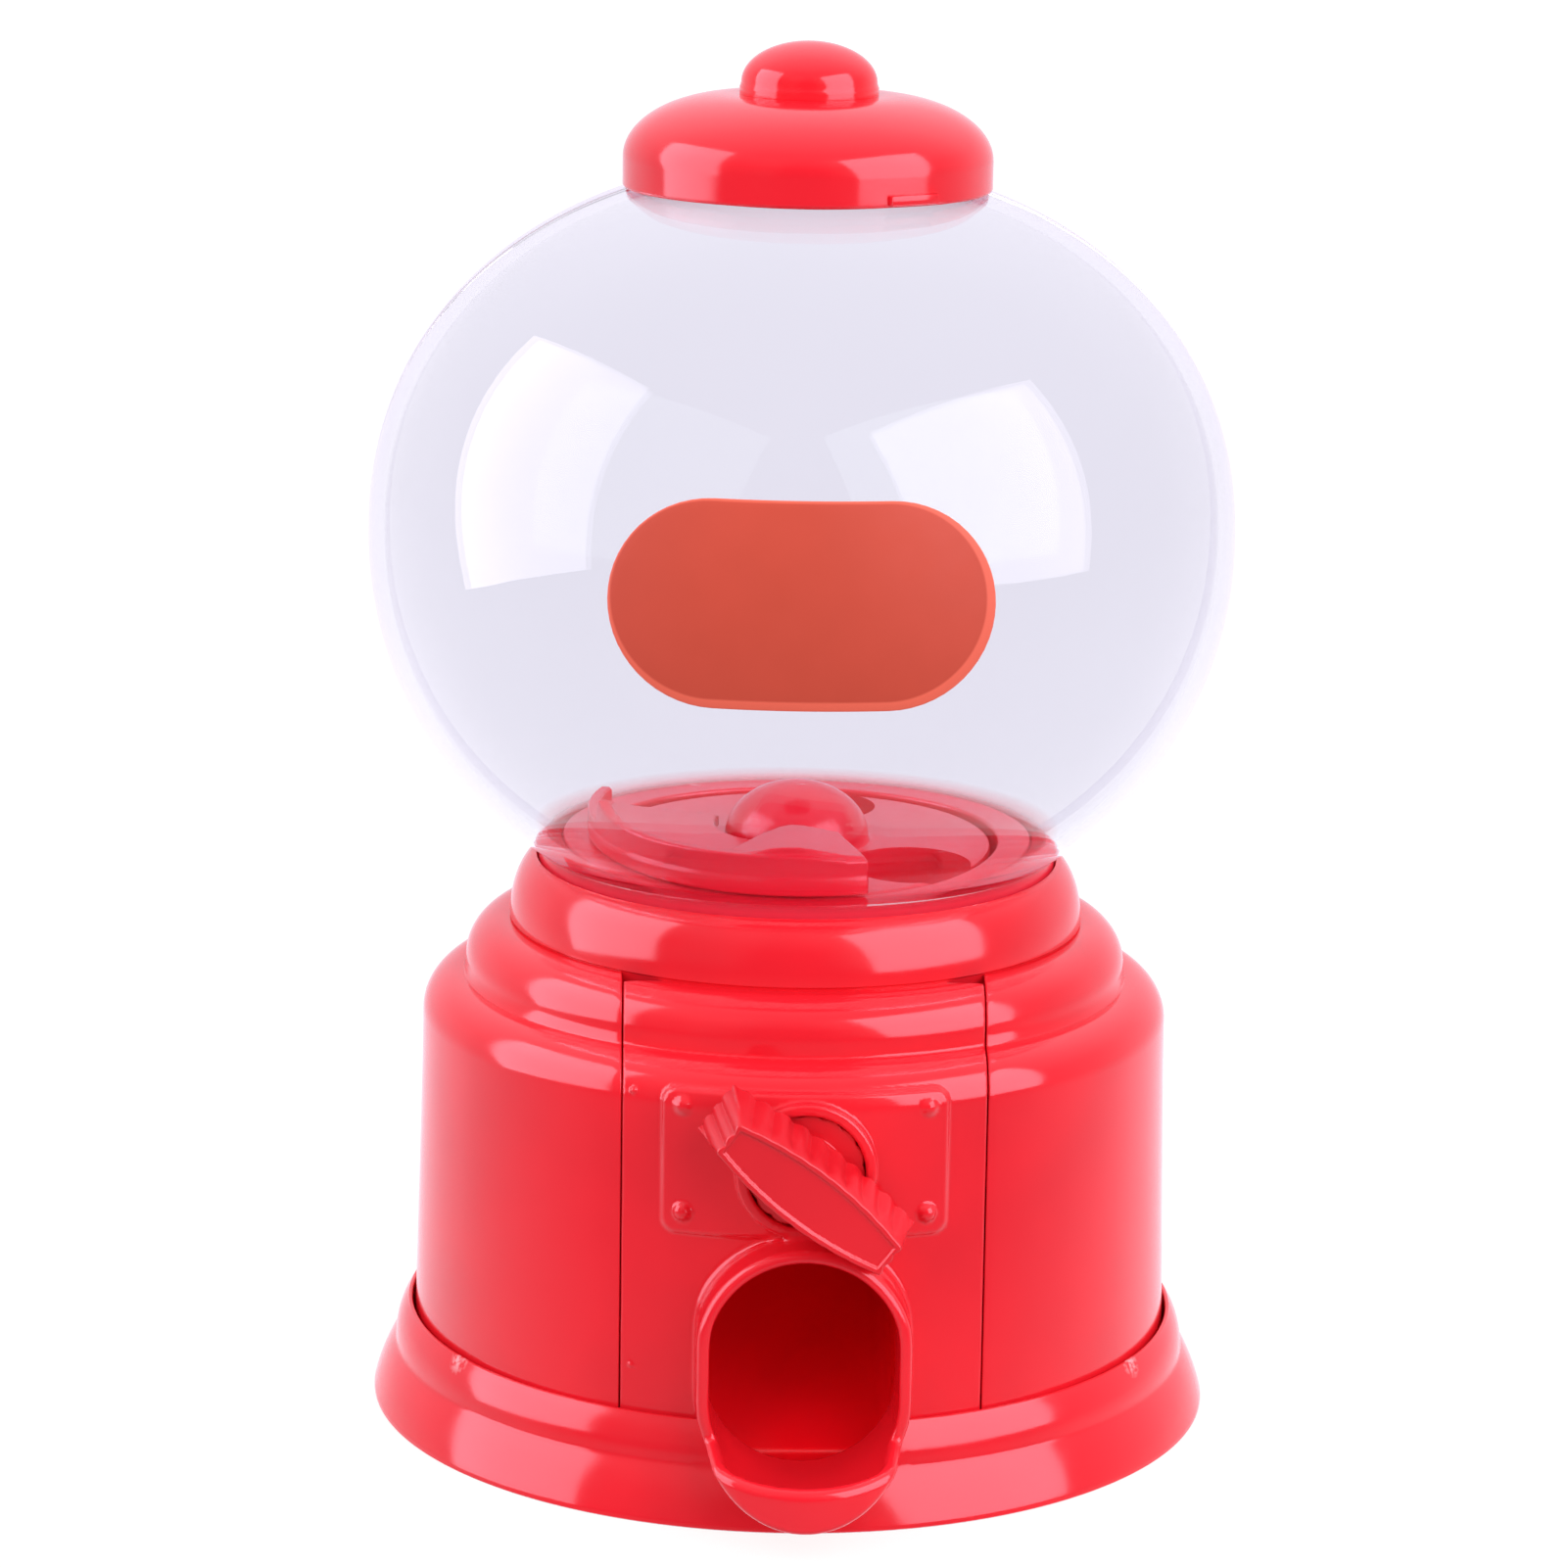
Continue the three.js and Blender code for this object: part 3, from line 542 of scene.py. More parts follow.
def label_vinyl():
    """Blank printed vinyl: a coral field inside a paler rim that shows most at the lower right."""
    material, tree, bsdf = shader("label_vinyl")
    half_height = (LABEL["high_z"] - LABEL["low_z"]) / 2
    field_x = LABEL["centre_x"] - 0.3
    field_z = (LABEL["high_z"] + LABEL["low_z"]) / 2 + 0.35
    field_edge = (half_height - 0.55) * MM

    def past(socket, centre, stretch):
        """How far a coordinate lies outside a stretch to both sides of its centre."""
        away = calculated(tree, "ABSOLUTE", calculated(tree, "SUBTRACT", socket, centre * MM))
        return calculated(tree, "MAXIMUM", calculated(tree, "SUBTRACT", away, stretch * MM), 0.0)

    place = split_place(tree, own_place(tree))
    joined = node(tree, "ShaderNodeCombineXYZ")
    across = past(place["X"], field_x, LABEL["half_length"] - half_height)
    feed_all(tree, joined, {"X": across, "Z": past(place["Z"], field_z, 0.0)})
    rim = ramp(tree, distance_from(tree, joined.outputs[0]), field_edge - 0.1 * MM, field_edge + 0.1 * MM)
    field = mottled(tree, 130, 3, (0.525, 0.062, 0.036), (0.555, 0.066, 0.039))
    feed_all(tree, bsdf, {
        "Base Color": blend_colours(tree, rim, field, (0.78, 0.125, 0.08)),
        "Roughness": ramp(tree, noise(tree, 400, 3), 0.3, 0.7, 0.5, 0.62),
        "Specular IOR Level": 0.2,
        "Normal": bump(tree, [(noise(tree, 2600, 2), 0.000006, 0.4)]),
    })
    return material


def brushed_steel():
    material, tree, bsdf = shader("steel")
    feed_all(tree, bsdf, {
        "Base Color": mottled(tree, 800, 3, (0.46, 0.46, 0.45), (0.58, 0.58, 0.56)),
        "Roughness": ramp(tree, noise(tree, 1400, 3), 0.3, 0.7, 0.25, 0.42),
        "Metallic": 1.0,
        "Normal": bump(tree, [(noise(tree, 900, 2, (1, 1, 8)), 0.00001, 0.4)]),
    })
    return material


def polar(radius, degrees):
    return radius * math.cos(math.radians(degrees)), radius * math.sin(math.radians(degrees))


RED = (0.8, 0.012, 0.024)
SNAP_MARKS = [(*polar(38.9 * MM, angle), 9.4 * MM) for angle in SNAP_ANGLES[:2]]
red = plastic("red_plastic", RED, 0.12)
plinth_red = plastic("red_plastic_plinth", RED, 0.12, waviness=2.0, marks=SNAP_MARKS)
# The knob's red is a darker copy of the red plastic: painted shade for the dimmer light on its face.
shaded_knob_red = plastic("red_plastic_knob_shaded", (0.72, 0.01, 0.02), 0.22)
inner_red = plastic("inner_red_plastic", (0.77, 0.013, 0.032), 0.2)
chute_red = plastic("inner_red_plastic_chute", (0.88, 0.003, 0.01), 0.35)
white = plastic("white_plastic", (0.78, 0.77, 0.73), 0.4, tone=0.03)
clear = clear_plastic()
vinyl = label_vinyl()
steel = brushed_steel()


# ---- Body ----
def draft(z):
    """How far the skirt has spread at a height, below the lower shoulder."""
    fall = np.maximum(LOWER_STEP["top"] - LOWER_STEP["corner"] - np.maximum(z, DRAFT_STOP_Z), 0)
    return DRAFT * fall**2 / (fall + DRAFT_EASE)


def skirt_outline():
    """The outside from the top of the middle step down to the foot of the skirt."""
    middle, lower = MIDDLE_STEP, LOWER_STEP
    points = []
    for step in (middle, lower):
        centre = (step["r"] - step["corner"], step["top"] - step["corner"])
        points += arc(centre, step["corner"], 90, 0, 16)
        if step is middle:
            points.append((middle["r"] + 0.05, lower["top"] + 0.25))
            points.append((middle["r"] + 0.25, lower["top"]))
    top = lower["top"] - lower["corner"]
    for z in (*np.linspace(top, DRAFT_STOP_Z, 17)[1:], BODY_BOTTOM_Z + 0.2):
        points.append((lower["r"] + float(draft(z)), z))
    return points


def housing():
    low = LOWER_STEP["r"] + float(draft(BODY_BOTTOM_Z))
    inside = [
        (low - 0.2, BODY_BOTTOM_Z), (36.7, BODY_BOTTOM_Z), (36.5, 2.3), (36.45, 10), (36.1, 24), (35.7, 39),
        (35.4, 40), (34.6, 41.2), (33.4, 42.1), (31.9, 42.4), (31.55, 43), (31.5, 45.2), (31.2, 46.2),
        (30.2, 47.1), (28.6, 48.2), (27.6, 48.5), (27.5, 49.8), (28.0, 49.9),
    ]
    skirt = swept(skirt_outline() + inside, -math.pi / 2, 1.5 * math.pi, DOORWAY_EDGE, 230, edge=0.2)
    ring = RING
    across, up = ring["base_r"] - ring["crown_r"], ring["top_z"] - ring["base_z"]
    flank = [
        (ring["crown_r"] + across * math.cos(a), ring["base_z"] + up * math.sin(a))
        for a in np.radians(np.linspace(1, 67, 23))
    ]
    shelf_r, shelf_low, shelf_high = LEDGE["inner_r"], LEDGE["bottom_z"], LEDGE["top_z"]
    outline = [
        (shelf_r, shelf_low), (28.3, shelf_low), (28.6, ring["base_z"] - 0.05), *flank,
        (ring["inner_r"] + 0.12, ring["top_z"] - 0.4), (ring["inner_r"], ring["top_z"] - 0.62),
        (ring["inner_r"], shelf_high), (shelf_r, shelf_high),
    ]
    outline = softened(outline, [0.2, 0, 0] + [0] * len(flank) + [0, 0.1, 0.15, 0.2], steps=3)
    neck = turned(supported(outline), 224, wrap=True)
    parts = [skirt, neck] + [snap_block(34.9, 37.0, 3.5, 10.0, 12.6, angle) for angle in SNAP_ANGLES]
    piece("housing", *merged(parts), red, "body", "red_plastic", ["housing"])


def snap_block(near_r, far_r, half_width, low_z, high_z, degrees):
    """A small block with eased edges, standing round the axis."""
    work = bmesh.new()
    bmesh.ops.create_cube(work, size=1.0)
    size = (far_r - near_r, 2 * half_width, high_z - low_z)
    bmesh.ops.scale(work, verts=work.verts, vec=size)
    bmesh.ops.bevel(work, geom=work.edges, offset=0.2, segments=2, profile=0.5, affect="EDGES")
    bmesh.ops.translate(work, verts=work.verts, vec=((near_r + far_r) / 2, 0, (low_z + high_z) / 2))
    turn = Matrix.Rotation(math.radians(degrees), 3, "Z")
    bmesh.ops.rotate(work, verts=work.verts, cent=(0, 0, 0), matrix=turn)
    points = [tuple(v.co) for v in work.verts]
    faces = [tuple(v.index for v in f.verts) for f in work.faces]
    work.free()
    return points, faces


def round_step(r, z, radius, top, corner):
    """Distance from an endless cylinder with a flat top and a rounded top edge."""
    across, up = r - radius + corner, z - top + corner
    outside = np.hypot(np.maximum(across, 0), np.maximum(up, 0))
    return outside + np.minimum(np.maximum(across, up), 0) - corner


def outer_wall(r, z):
    lower = round_step(r - draft(z), z, LOWER_STEP["r"], LOWER_STEP["top"], LOWER_STEP["corner"])
    middle = round_step(r, z, MIDDLE_STEP["r"], MIDDLE_STEP["top"], MIDDLE_STEP["corner"])
    return union(lower, middle, 0.25)


def inner_wall(r, z):
    lower = round_step(r - draft(z), z, 35.7, 42.4, 2.6)
    middle = round_step(r, z, 31.5, 48.1, 1.6)
    return union(lower, middle)


def slot_distance(x, z, radius, low_z, high_z):
    middle = np.clip(z, low_z + radius, high_z - radius)
    return np.hypot(x, z - middle) - radius


def plan_distance(x, y, width, lip_y):
    """Distance from the spout's plan: straight sides, and a half-ellipse in front."""
    front = SPOUT["front_y"]
    reach = front - lip_y
    ahead = np.minimum(y - front, 0)
    size = np.hypot(x / width, ahead / reach)
    steepness = np.hypot(x / width**2, ahead / reach**2)
    return (size - 1) * size / np.maximum(steepness, 1e-6)


def spout_outside(x, y, z):
    slot = slot_distance(x, z, SPOUT["half_width"], SPOUT["low_z"], SPOUT["high_z"])
    plan = plan_distance(x, y, SPOUT["half_width"] + 0.05, SPOUT["lip_y"])
    rim_z = TRAY_RIM["back_z"] + TRAY_RIM["slope"] * (y - SPOUT["front_y"])
    kept = union(SPOUT["front_y"] - y, (z - rim_z) * 0.965, 0.5)
    shape = common(common(slot, plan, 0.5), kept, 0.8)
    return np.maximum(shape, y + 34.4)


def spout_hollow(x, y, z):
    wall = SPOUT["wall"]
    radius = SPOUT["half_width"] - wall
    slot = slot_distance(x, z, radius, SPOUT["low_z"] + wall + 0.1, SPOUT["high_z"] - wall)
    return common(slot, plan_distance(x, y, radius + 0.05, SPOUT["lip_y"] + wall), 0.6)


def coin_plate(x, y, z, wall):
    """The raised plate with its four rivet heads. It stands out further at its top than at its foot."""
    plate = COIN_PLATE
    middle_z = (plate["low_z"] + plate["high_z"]) / 2
    across = np.abs(x) - plate["half_width"] + plate["corner"]
    up = np.abs(z - middle_z) - (plate["high_z"] - plate["low_z"]) / 2 + plate["corner"]
    edge = np.hypot(np.maximum(across, 0), np.maximum(up, 0)) + np.minimum(np.maximum(across, up), 0)
    edge -= plate["corner"]
    share = (z - plate["low_z"]) / (plate["high_z"] - plate["low_z"])
    height = plate["low_height"] + (plate["high_height"] - plate["low_height"]) * np.clip(share, 0, 1)
    made = common(common(wall - height, edge, 0.4), -wall - 1.0)
    for rivet_z in (RIVET["low_z"], RIVET["high_z"]):
        centre_r = LOWER_STEP["r"] + draft(np.array(rivet_z)) + 0.12
        centre_y = -np.sqrt(centre_r**2 - RIVET["x"] ** 2)
        if rivet_z == RIVET["high_z"]:
            centre_y += 0.1
        away = np.sqrt((np.abs(x) - RIVET["x"]) ** 2 + (y - centre_y) ** 2 + (z - rivet_z) ** 2)
        made = union(made, away - RIVET["r"], 0.3)
    return made


def panel_lips(across, r, z):
    """A strip down each edge of the panel that hooks behind the housing, and the root that carries it."""
    lip, root = PANEL_LIP, PANEL_LIP_ROOT
    up = np.abs(z - lip["middle_z"]) - lip["half_height"]
    strip = np.maximum(np.abs(r - lip["r"]) - lip["half_thick"], np.maximum(across - lip["edge"], up))
    depth = np.maximum(root["low_r"] - r, r - root["high_r"])
    foot = np.maximum(depth, np.maximum(across - root["edge"], up))
    return np.maximum(np.minimum(strip, foot), lip["inner"] - across)


def panel_field(x, y, z):
    r = np.hypot(x, y)
    wall = outer_wall(r, z)
    across = np.abs(x)
    made = common(wall, -inner_wall(r, z), 0.2)
    made = common(made, PANEL_BACK_R - r, 0.1)
    made = union(made, common(coin_plate(x, y, z, wall), 30 - r), 0.3)
    made = common(made, np.maximum(z - PANEL_TOP_Z, BODY_BOTTOM_Z - z), 0.25)
    made = common(made, across - PANEL_EDGE, 0.2)
    collar = np.hypot(x, z - AXLE_Z) - COLLAR["r"]
    collar = common(collar, np.maximum(COLLAR["front_y"] - y, y + 36), 0.35)
    made = union(made, collar, 0.25)
    made = union(made, spout_outside(x, y, z), 0.6)
    made = np.minimum(made, panel_lips(across, r, z))
    made = common(made, -spout_hollow(x, y, z), 0.4)
    made = common(made, HOLE_R - np.hypot(x, z - AXLE_Z), 0.3)
    for pip_z, sunk in ((PIP["high_z"], 0.15), (PIP["low_z"], 0.2)):
        pip_r = LOWER_STEP["r"] + draft(np.array(pip_z)) - sunk
        pip_y = -np.sqrt(pip_r**2 - PIP["x"] ** 2)
        away = np.sqrt((x - PIP["x"]) ** 2 + (y - pip_y) ** 2 + (z - pip_z) ** 2)
        made = union(made, away - PIP["r"], 0.15)
    return made


def front_panel():
    low, high = (-20.6, -51.6, 1.6), (20.6, -25.2, 50.2)
    field_piece("front_panel", panel_field, low, high, (0.4, 0.29), red, "red_plastic")


def chute_field(x, y, z):
    """A slide that narrows and falls towards the spout: an open trough under a sloping rim."""
    c = CHUTE
    start, end = CHUTE_SPAN_Y
    slope = (CHUTE_FLOOR_Z[1] - CHUTE_FLOOR_Z[0]) / (end - start)
    over = (z - CHUTE_FLOOR_Z[0] - slope * (y - start)) / math.hypot(1, slope)
    rim_z = CHUTE_RIM_Z[0] + (CHUTE_RIM_Z[1] - CHUTE_RIM_Z[0]) * (y - start) / (end - start)
    run, rise = c["bend_y"] - c["front_y"], c["front_x"] - c["left_x"]
    slant = -(run * (x - c["left_x"]) + rise * (y - c["bend_y"])) / math.hypot(run, rise)
    beside = np.maximum(np.maximum(x - c["right_x"], c["left_x"] - x), np.maximum(y - c["back_y"], slant))
    outside = common(np.maximum(beside, c["front_y"] - y), np.maximum(z - rim_z, -over - c["floor"]), 0.3)
    hollow = common(beside + c["wall"], -over, 1.4)
    return common(outside, -hollow, 0.25)


def chute_ramp():
    low, high = (-22.4, -34.6, 1.2), (11.4, 4.8, 31.8)
    field_piece("chute_ramp", chute_field, low, high, (0.6, 0.42), chute_red, "inner_red_plastic")


def base_plinth():
    """Two stacked beads and a lip, dipping under the spout, with a flat foot and a floor inside."""
    lip_z, lip_r, inner_r, floor_z = (PLINTH[key] for key in ("lip_z", "lip_r", "inner_r", "floor_z"))
    ease = 0.12
    lower = bulged((42.5, 0.45), (40.5, 5.2), 0.2, 14)
    upper = bulged((40.25, 5.95), (lip_r, lip_z), 0.3, 14)
    crease = [(40.3, 5.55)]
    curve = np.array(lower + crease + upper)
    radius = SPOUT["half_width"] + 0.3
    centre_z = SPOUT["low_z"] + SPOUT["half_width"]

    def cut_height(x):
        return centre_z - math.sqrt(radius**2 - x * x) if abs(x) < radius else lip_z

    corner = math.asin(math.sqrt(radius**2 - (centre_z - lip_z) ** 2) / lip_r)
    fine = np.linspace(-1.25 * corner, 1.25 * corner, 61)
    rest = np.linspace(1.25 * corner, 2 * math.pi - 1.25 * corner, 217)[1:-1]
    angles = np.unique(np.concatenate([fine, rest, [-corner, corner]]))
    heights = np.linspace(0, 1, 46)
    columns = []
    for angle in angles:
        top = lip_z
        for _ in range(4):
            top = min(lip_z, cut_height(np.interp(top, curve[:, 1], curve[:, 0]) * math.sin(angle)))
        inner_top = min(lip_z, cut_height(inner_r * math.sin(angle)))
        z = curve[0, 1] + (top - ease - curve[0, 1]) * heights
        side = [(np.interp(h, curve[:, 1], curve[:, 0]), h) for h in z]
        edge_r = side[-1][0]
        column = [(0, 0.35), (3.0, 0.35), (3.3, 0.0), (20, 0), (41.9, 0), (42.3, 0.03), (42.5, 0.16), *side]
        column += [(edge_r - 0.05, top - 0.03), (edge_r - 0.14, top), (inner_r + 0.1, inner_top)]
        column += [(inner_r, inner_top - 0.1), (inner_r, floor_z + 0.4), (inner_r - 0.1, floor_z + 0.1)]
        column += [(inner_r - 0.4, floor_z), (20, floor_z), (0, floor_z)]
        columns.append([(r * math.sin(angle), -r * math.cos(angle), h) for r, h in column])
    points = np.array(columns).transpose(1, 0, 2)
    rows, count = points.shape[:2]
    shell = welded(points.reshape(-1, 3), grid_faces(rows, count, False, True))
    posts = [snap_block(33.4, 34.6, 3.0, 1.0, 15.0, angle) for angle in SNAP_ANGLES]
    hooks = [snap_block(34.0, 35.7, 3.0, 13.0, 15.0, angle) for angle in SNAP_ANGLES]
    vertices, faces = merged([shell, *posts, *hooks])
    piece("base_plinth", vertices, faces, plinth_red, "body", "red_plastic", ["base_plinth"])


# ---- Globe, label and lid ----
def globe_radius(z):
    upper = z > GLOBE["mid_z"]
    height = np.where(upper, GLOBE["up"], GLOBE["down"])
    power = np.where(upper, GLOBE["up_power"], GLOBE["down_power"])
    share = np.abs(z - GLOBE["mid_z"]) / height
    return GLOBE["radius"] * np.maximum(1 - share**power, 0) ** (1 / power)


def globe_arc(from_r, to_r, upper, inset, steps=44):
    """The globe's outline between two radii, in its upper or its lower half."""
    radius = GLOBE["radius"] - inset
    height = (GLOBE["up"] if upper else GLOBE["down"]) - inset
    power = GLOBE["up_power"] if upper else GLOBE["down_power"]
    first, last = (math.asin(min(1, (r / radius) ** (power / 2))) for r in (from_r, to_r))
    points = []
    for angle in np.linspace(first, last, steps + 1):
        r = radius * math.sin(angle) ** (2 / power)
        z = height * abs(math.cos(angle)) ** (2 / power)
        points.append((r, GLOBE["mid_z"] + (z if upper else -z)))
    return points


def globe_halves():
    outer_r, inner_r = GLOBE["radius"], GLOBE["radius"] - GLOBE["wall"]
    neck, inner_neck = GLOBE_NECK_R, GLOBE_NECK_R - GLOBE["wall"]
    outside = globe_arc(neck, outer_r, False, 0) + globe_arc(outer_r, MOUTH_R, True, 0)[1:]
    inside = globe_arc(MOUTH_R, inner_r, True, GLOBE["wall"])
    inside += globe_arc(inner_r, inner_neck, False, GLOBE["wall"])[1:]
    low = GLOBE_NECK_Z
    loop = [(neck, low + 0.4), (neck, low + 1.2)] + outside + inside
    loop += [(inner_neck, low + 0.3), (inner_neck + 0.3, low), (neck - 0.3, low)]
    for name, start in (("globe_front", math.pi), ("globe_rear", 0.0)):
        points, faces = swept(loop, start, start + math.pi, HALF_GAP, 128, edge=0.12, edge_steps=3)
        piece(name, points, faces, clear, "body", "clear_plastic", [name], sharp=math.radians(45))


def label():
    """A thin stadium of vinyl that follows the globe, with a rounded edge."""
    half_height = (LABEL["high_z"] - LABEL["low_z"]) / 2
    middle_z = (LABEL["high_z"] + LABEL["low_z"]) / 2
    straight = LABEL["half_length"] - half_height
    steps = 25
    across = np.linspace(straight, -straight, steps)
    turn = np.linspace(-math.pi / 2, math.pi / 2, 29)

    def ring(reach, lift):
        """A stadium with this half-height, laid on the globe at a small distance from it."""
        top = np.stack([across, np.full(steps, reach)], -1)
        left = np.stack([-straight - reach * np.cos(turn[1:-1]), reach * np.sin(-turn[1:-1])], -1)
        bottom = np.stack([-across, np.full(steps, -reach)], -1)
        right = np.stack([straight + reach * np.cos(turn[1:-1]), reach * np.sin(turn[1:-1])], -1)
        flat = np.concatenate([top, left, bottom, right])
        x, z = flat[:, 0] + LABEL["centre_x"], flat[:, 1] + middle_z
        y = -np.sqrt((globe_radius(z) + lift) ** 2 - x * x)
        return np.stack([x, y, z], -1)

    edge, thick = 0.15, LABEL["outer"] - LABEL["inner"]
    rings = [ring(reach, LABEL["outer"]) for reach in np.linspace(0, half_height - edge, 16)]
    for angle in np.linspace(0, math.pi, 7)[1:-1]:
        reach = half_height - edge + edge * math.sin(angle)
        rings.append(ring(reach, LABEL["inner"] + thick * (0.5 + 0.5 * math.cos(angle))))
    rings += [ring(reach, LABEL["inner"]) for reach in np.linspace(half_height - edge, 0, 10)]
    points = np.array(rings)
    rows, count = points.shape[:2]
    points, faces = welded(points.reshape(-1, 3), grid_faces(rows, count, False, True))
    piece("label", points, faces, vinyl, "body", "label_vinyl", ["label"])


def lid():
    """A turned dome with a plug skirt below it, and a thumb tab at the right of its rim."""
    top, rim_r, rim_z, plug, low = (LID[key] for key in ("top_z", "rim_r", "rim_z", "plug_r", "plug_z"))
    flat_r, spring_z = 7.5, 126.1
    dome = [
        (flat_r + (rim_r - flat_r) * math.sin(a), spring_z + (top - spring_z) * math.cos(a))
        for a in np.linspace(0, math.pi / 2, 33)
    ]
    outline = [
        (2.6, top - 0.1), (2.7, top), *dome, (rim_r, rim_z), (rim_r - 0.15, rim_z - 0.2),
        (17.6, rim_z - 0.2), (16.8, rim_z + 0.2), (16.8, 126), (15.9, 128), (plug, 128.6),
        (plug, low + 0.4), (plug - 0.3, low), (plug - 1.0, low), (plug - 1.3, low + 0.3),
        (plug - 1.3, 129.2), (13, 129.6), (8, LID["skin_z"]), (2.6, LID["skin_z"]),
    ]
    shell = turned(supported(outline), 224, wrap=True)
    tab = snap_block(17.75, 18.6, 2.7, rim_z - 0.05, rim_z + 1.0, -58.5)
    piece("lid", *merged([shell, tab]), red, "lid_assembly", "red_plastic", ["lid"])


def finial():
    """A button with a barbed stem through the lid's hole."""
    seat, r, top, stem = (FINIAL[key] for key in ("seat_z", "r", "top_z", "stem_r"))
    dome_r, dome_z = 6.65, 133.45
    dome = [
        (dome_r * math.sin(a), dome_z + (top - dome_z) * math.cos(a))
        for a in np.linspace(math.pi / 2, 0, 29)
    ]
    outline = [
        (0, 127.4), (1.9, 127.4), (2.9, 128.4), (2.9, 129.5), (2.8, 129.6), (stem, 129.6), (stem, seat),
        (r - 0.1, seat), (r, seat + 0.15), (r, seat + 0.9), (r - 0.08, seat + 1.1), *dome,
    ]
    points, faces = turned(supported(outline, closed=False), 128)
    piece("lid_knob", points, faces, red, "lid_assembly", "red_plastic", ["lid_knob"])


# ---- Knob ----
def knob_field(x, y, z):
    """In the knob's own frame: x along the grip, y towards the back from its base, z across it. The grip
    narrows to its dished face and is ridged along its sides. A hub and a fluted flange stand behind it."""
    depth = KNOB["back_y"] - KNOB["front_y"]
    share = np.clip(-y / depth, -0.1, 1.1)
    length, middle, end = (
        KNOB_BASE[key] + (KNOB_FACE[key] - KNOB_BASE[key]) * share for key in ("length", "middle", "end")
    )
    side = (np.abs(z) - end - (middle - end) * (1 - (x / length) ** 2)) * 0.96
    tip = np.abs(x) - length
    fade = 1 - 0.85 * step_between(0.55, 0.95, share)
    ridge = 0.34 * (1 - np.abs(np.sin(math.pi * x / RIDGE_PITCH))) * fade
    ridge *= step_between(0.0, 1.6, -tip)
    scallop = 0.28 * (1 - np.abs(np.sin(math.pi * (z / 1.45 + 0.5))))
    edge = common(side + 0.96 * ridge, tip + scallop, 0.25)
    dish = 0.25 * step_between(0.4, 0.75, -np.maximum(side, tip))
    grip = common(edge, np.maximum(-y - depth + dish, y), 0.16)
    around, half_length = np.hypot(x, z), KNOB["hub_length"] / 2
    hub = common(around - KNOB["hub_r"], np.abs(y - half_length) - half_length - 0.4, 0.2)
    flutes = 0.2 * (1 - np.abs(np.sin(8 * np.arctan2(z, x))))
    flange = common(around - KNOB["flange_r"] + flutes, np.abs(y - 1.5) - 0.6, 0.12)
    made = union(union(grip, hub, 0.3), flange, 0.2)
    bore = common(around - KNOB["bore_r"], np.maximum(z - 2.1, -1.0 - y), 0.1)
    return common(made, -bore, 0.1)


def knob():
    cell = 0.17
    points, faces, normals = field_mesh(knob_field, (-11.8, -8.3, -5.6), (11.8, 5.0, 5.6), cell)
    tilt = KNOB["tilt"]
    turn = np.array([[math.cos(tilt), 0, math.sin(tilt)], [0, 1, 0], [-math.sin(tilt), 0, math.cos(tilt)]])
    points = points @ turn.T + np.array([0, KNOB["back_y"], AXLE_Z])
    normals = normals @ turn.T
    piece("knob", points, faces, shaded_knob_red, "knob_assembly", "red_plastic", ["knob"], normals=normals)


# ---- Inside the globe's neck ----
def guard_hood_field(x, y, z):
    """A roof over the outlet's side of the wheel, a wall round it that rises to a thin tip at its left end,
    and a sloping flap over its front."""
    wall, edge = 1.2, 0.2
    r = np.hypot(x, y)
    start, end = math.radians(HOOD["start"]), math.radians(HOOD["end"])
    angle = np.mod(np.arctan2(y, x), 2 * math.pi)
    past_start = math.sin(start) * x - math.cos(start) * y
    past_end = math.cos(end) * y - math.sin(end) * x
    sector = common(past_start, past_end, edge)
    plate = common(r - HOOD["outer_r"], HOOD["inner_r"] - r, edge)
    roof = common(plate, np.maximum(z - HOOD["roof_z"], HOOD["bottom_z"] - z), edge)
    past_peak = np.degrees(angle) - HOOD["wall_start"]
    peak = 1.6 * np.exp(-np.maximum(past_peak - 1.5, 0) / 9) - 2.2 * step_between(1.0, -1.0, past_peak)
    wall_top = HOOD["top_z"] - 0.1 + peak - 0.5 * step_between(70, 89, past_peak)
    band = np.abs(r - HOOD["outer_r"] + wall / 2) - wall / 2
    fence = common(band, np.maximum((z - wall_top) * 0.8, HOOD["bottom_z"] - z), edge)
    flap_top = HOOD["top_z"] - 1.4 + 2.0 * step_between(-10.5, -1.5, x) - 1.0 * step_between(-1.0, 6.0, x)
    flap_left = (9.1 * (y + 19) - 7 * (x + 10.3)) / 11.48
    flap = common(np.maximum(np.maximum(flap_left, y + 12), x - 5.8), r - HOOD["outer_r"] + 0.5, 0.3)
    flap = common(flap, np.abs(z - flap_top + wall / 2) - wall / 2, 0.25)
    return common(union(union(roof, fence, 0.4), flap, 0.3), sector, edge)


def guard_hood():
    low, high = (-24, -24, 52.4), (8.5, 9.5, 66)
    field_piece("guard_hood", guard_hood_field, low, high, (0.45, 0.32), inner_red, "inner_red_plastic")


def cut_through(target, cutters):
    """Takes the cutters out of the target, for good."""
    for cutter in cutters:
        modifier = target.modifiers.new("cut", "BOOLEAN")
        modifier.operation = "DIFFERENCE"
        modifier.solver = "EXACT"
        modifier.object = cutter
    bpy.context.view_layer.update()
    graph = bpy.context.evaluated_depsgraph_get()
    made = bpy.data.meshes.new_from_object(target.evaluated_get(graph))
    made.shade_smooth()
    made.set_sharp_from_angle(angle=math.radians(35))
    target.modifiers.clear()
    target.data = made
    for cutter in cutters:
        bpy.data.objects.remove(cutter)


def cutter(points, faces):
    mesh = bpy.data.meshes.new("cutter")
    mesh.from_pydata(points * MM, [], faces)
    return linked("cutter", mesh)


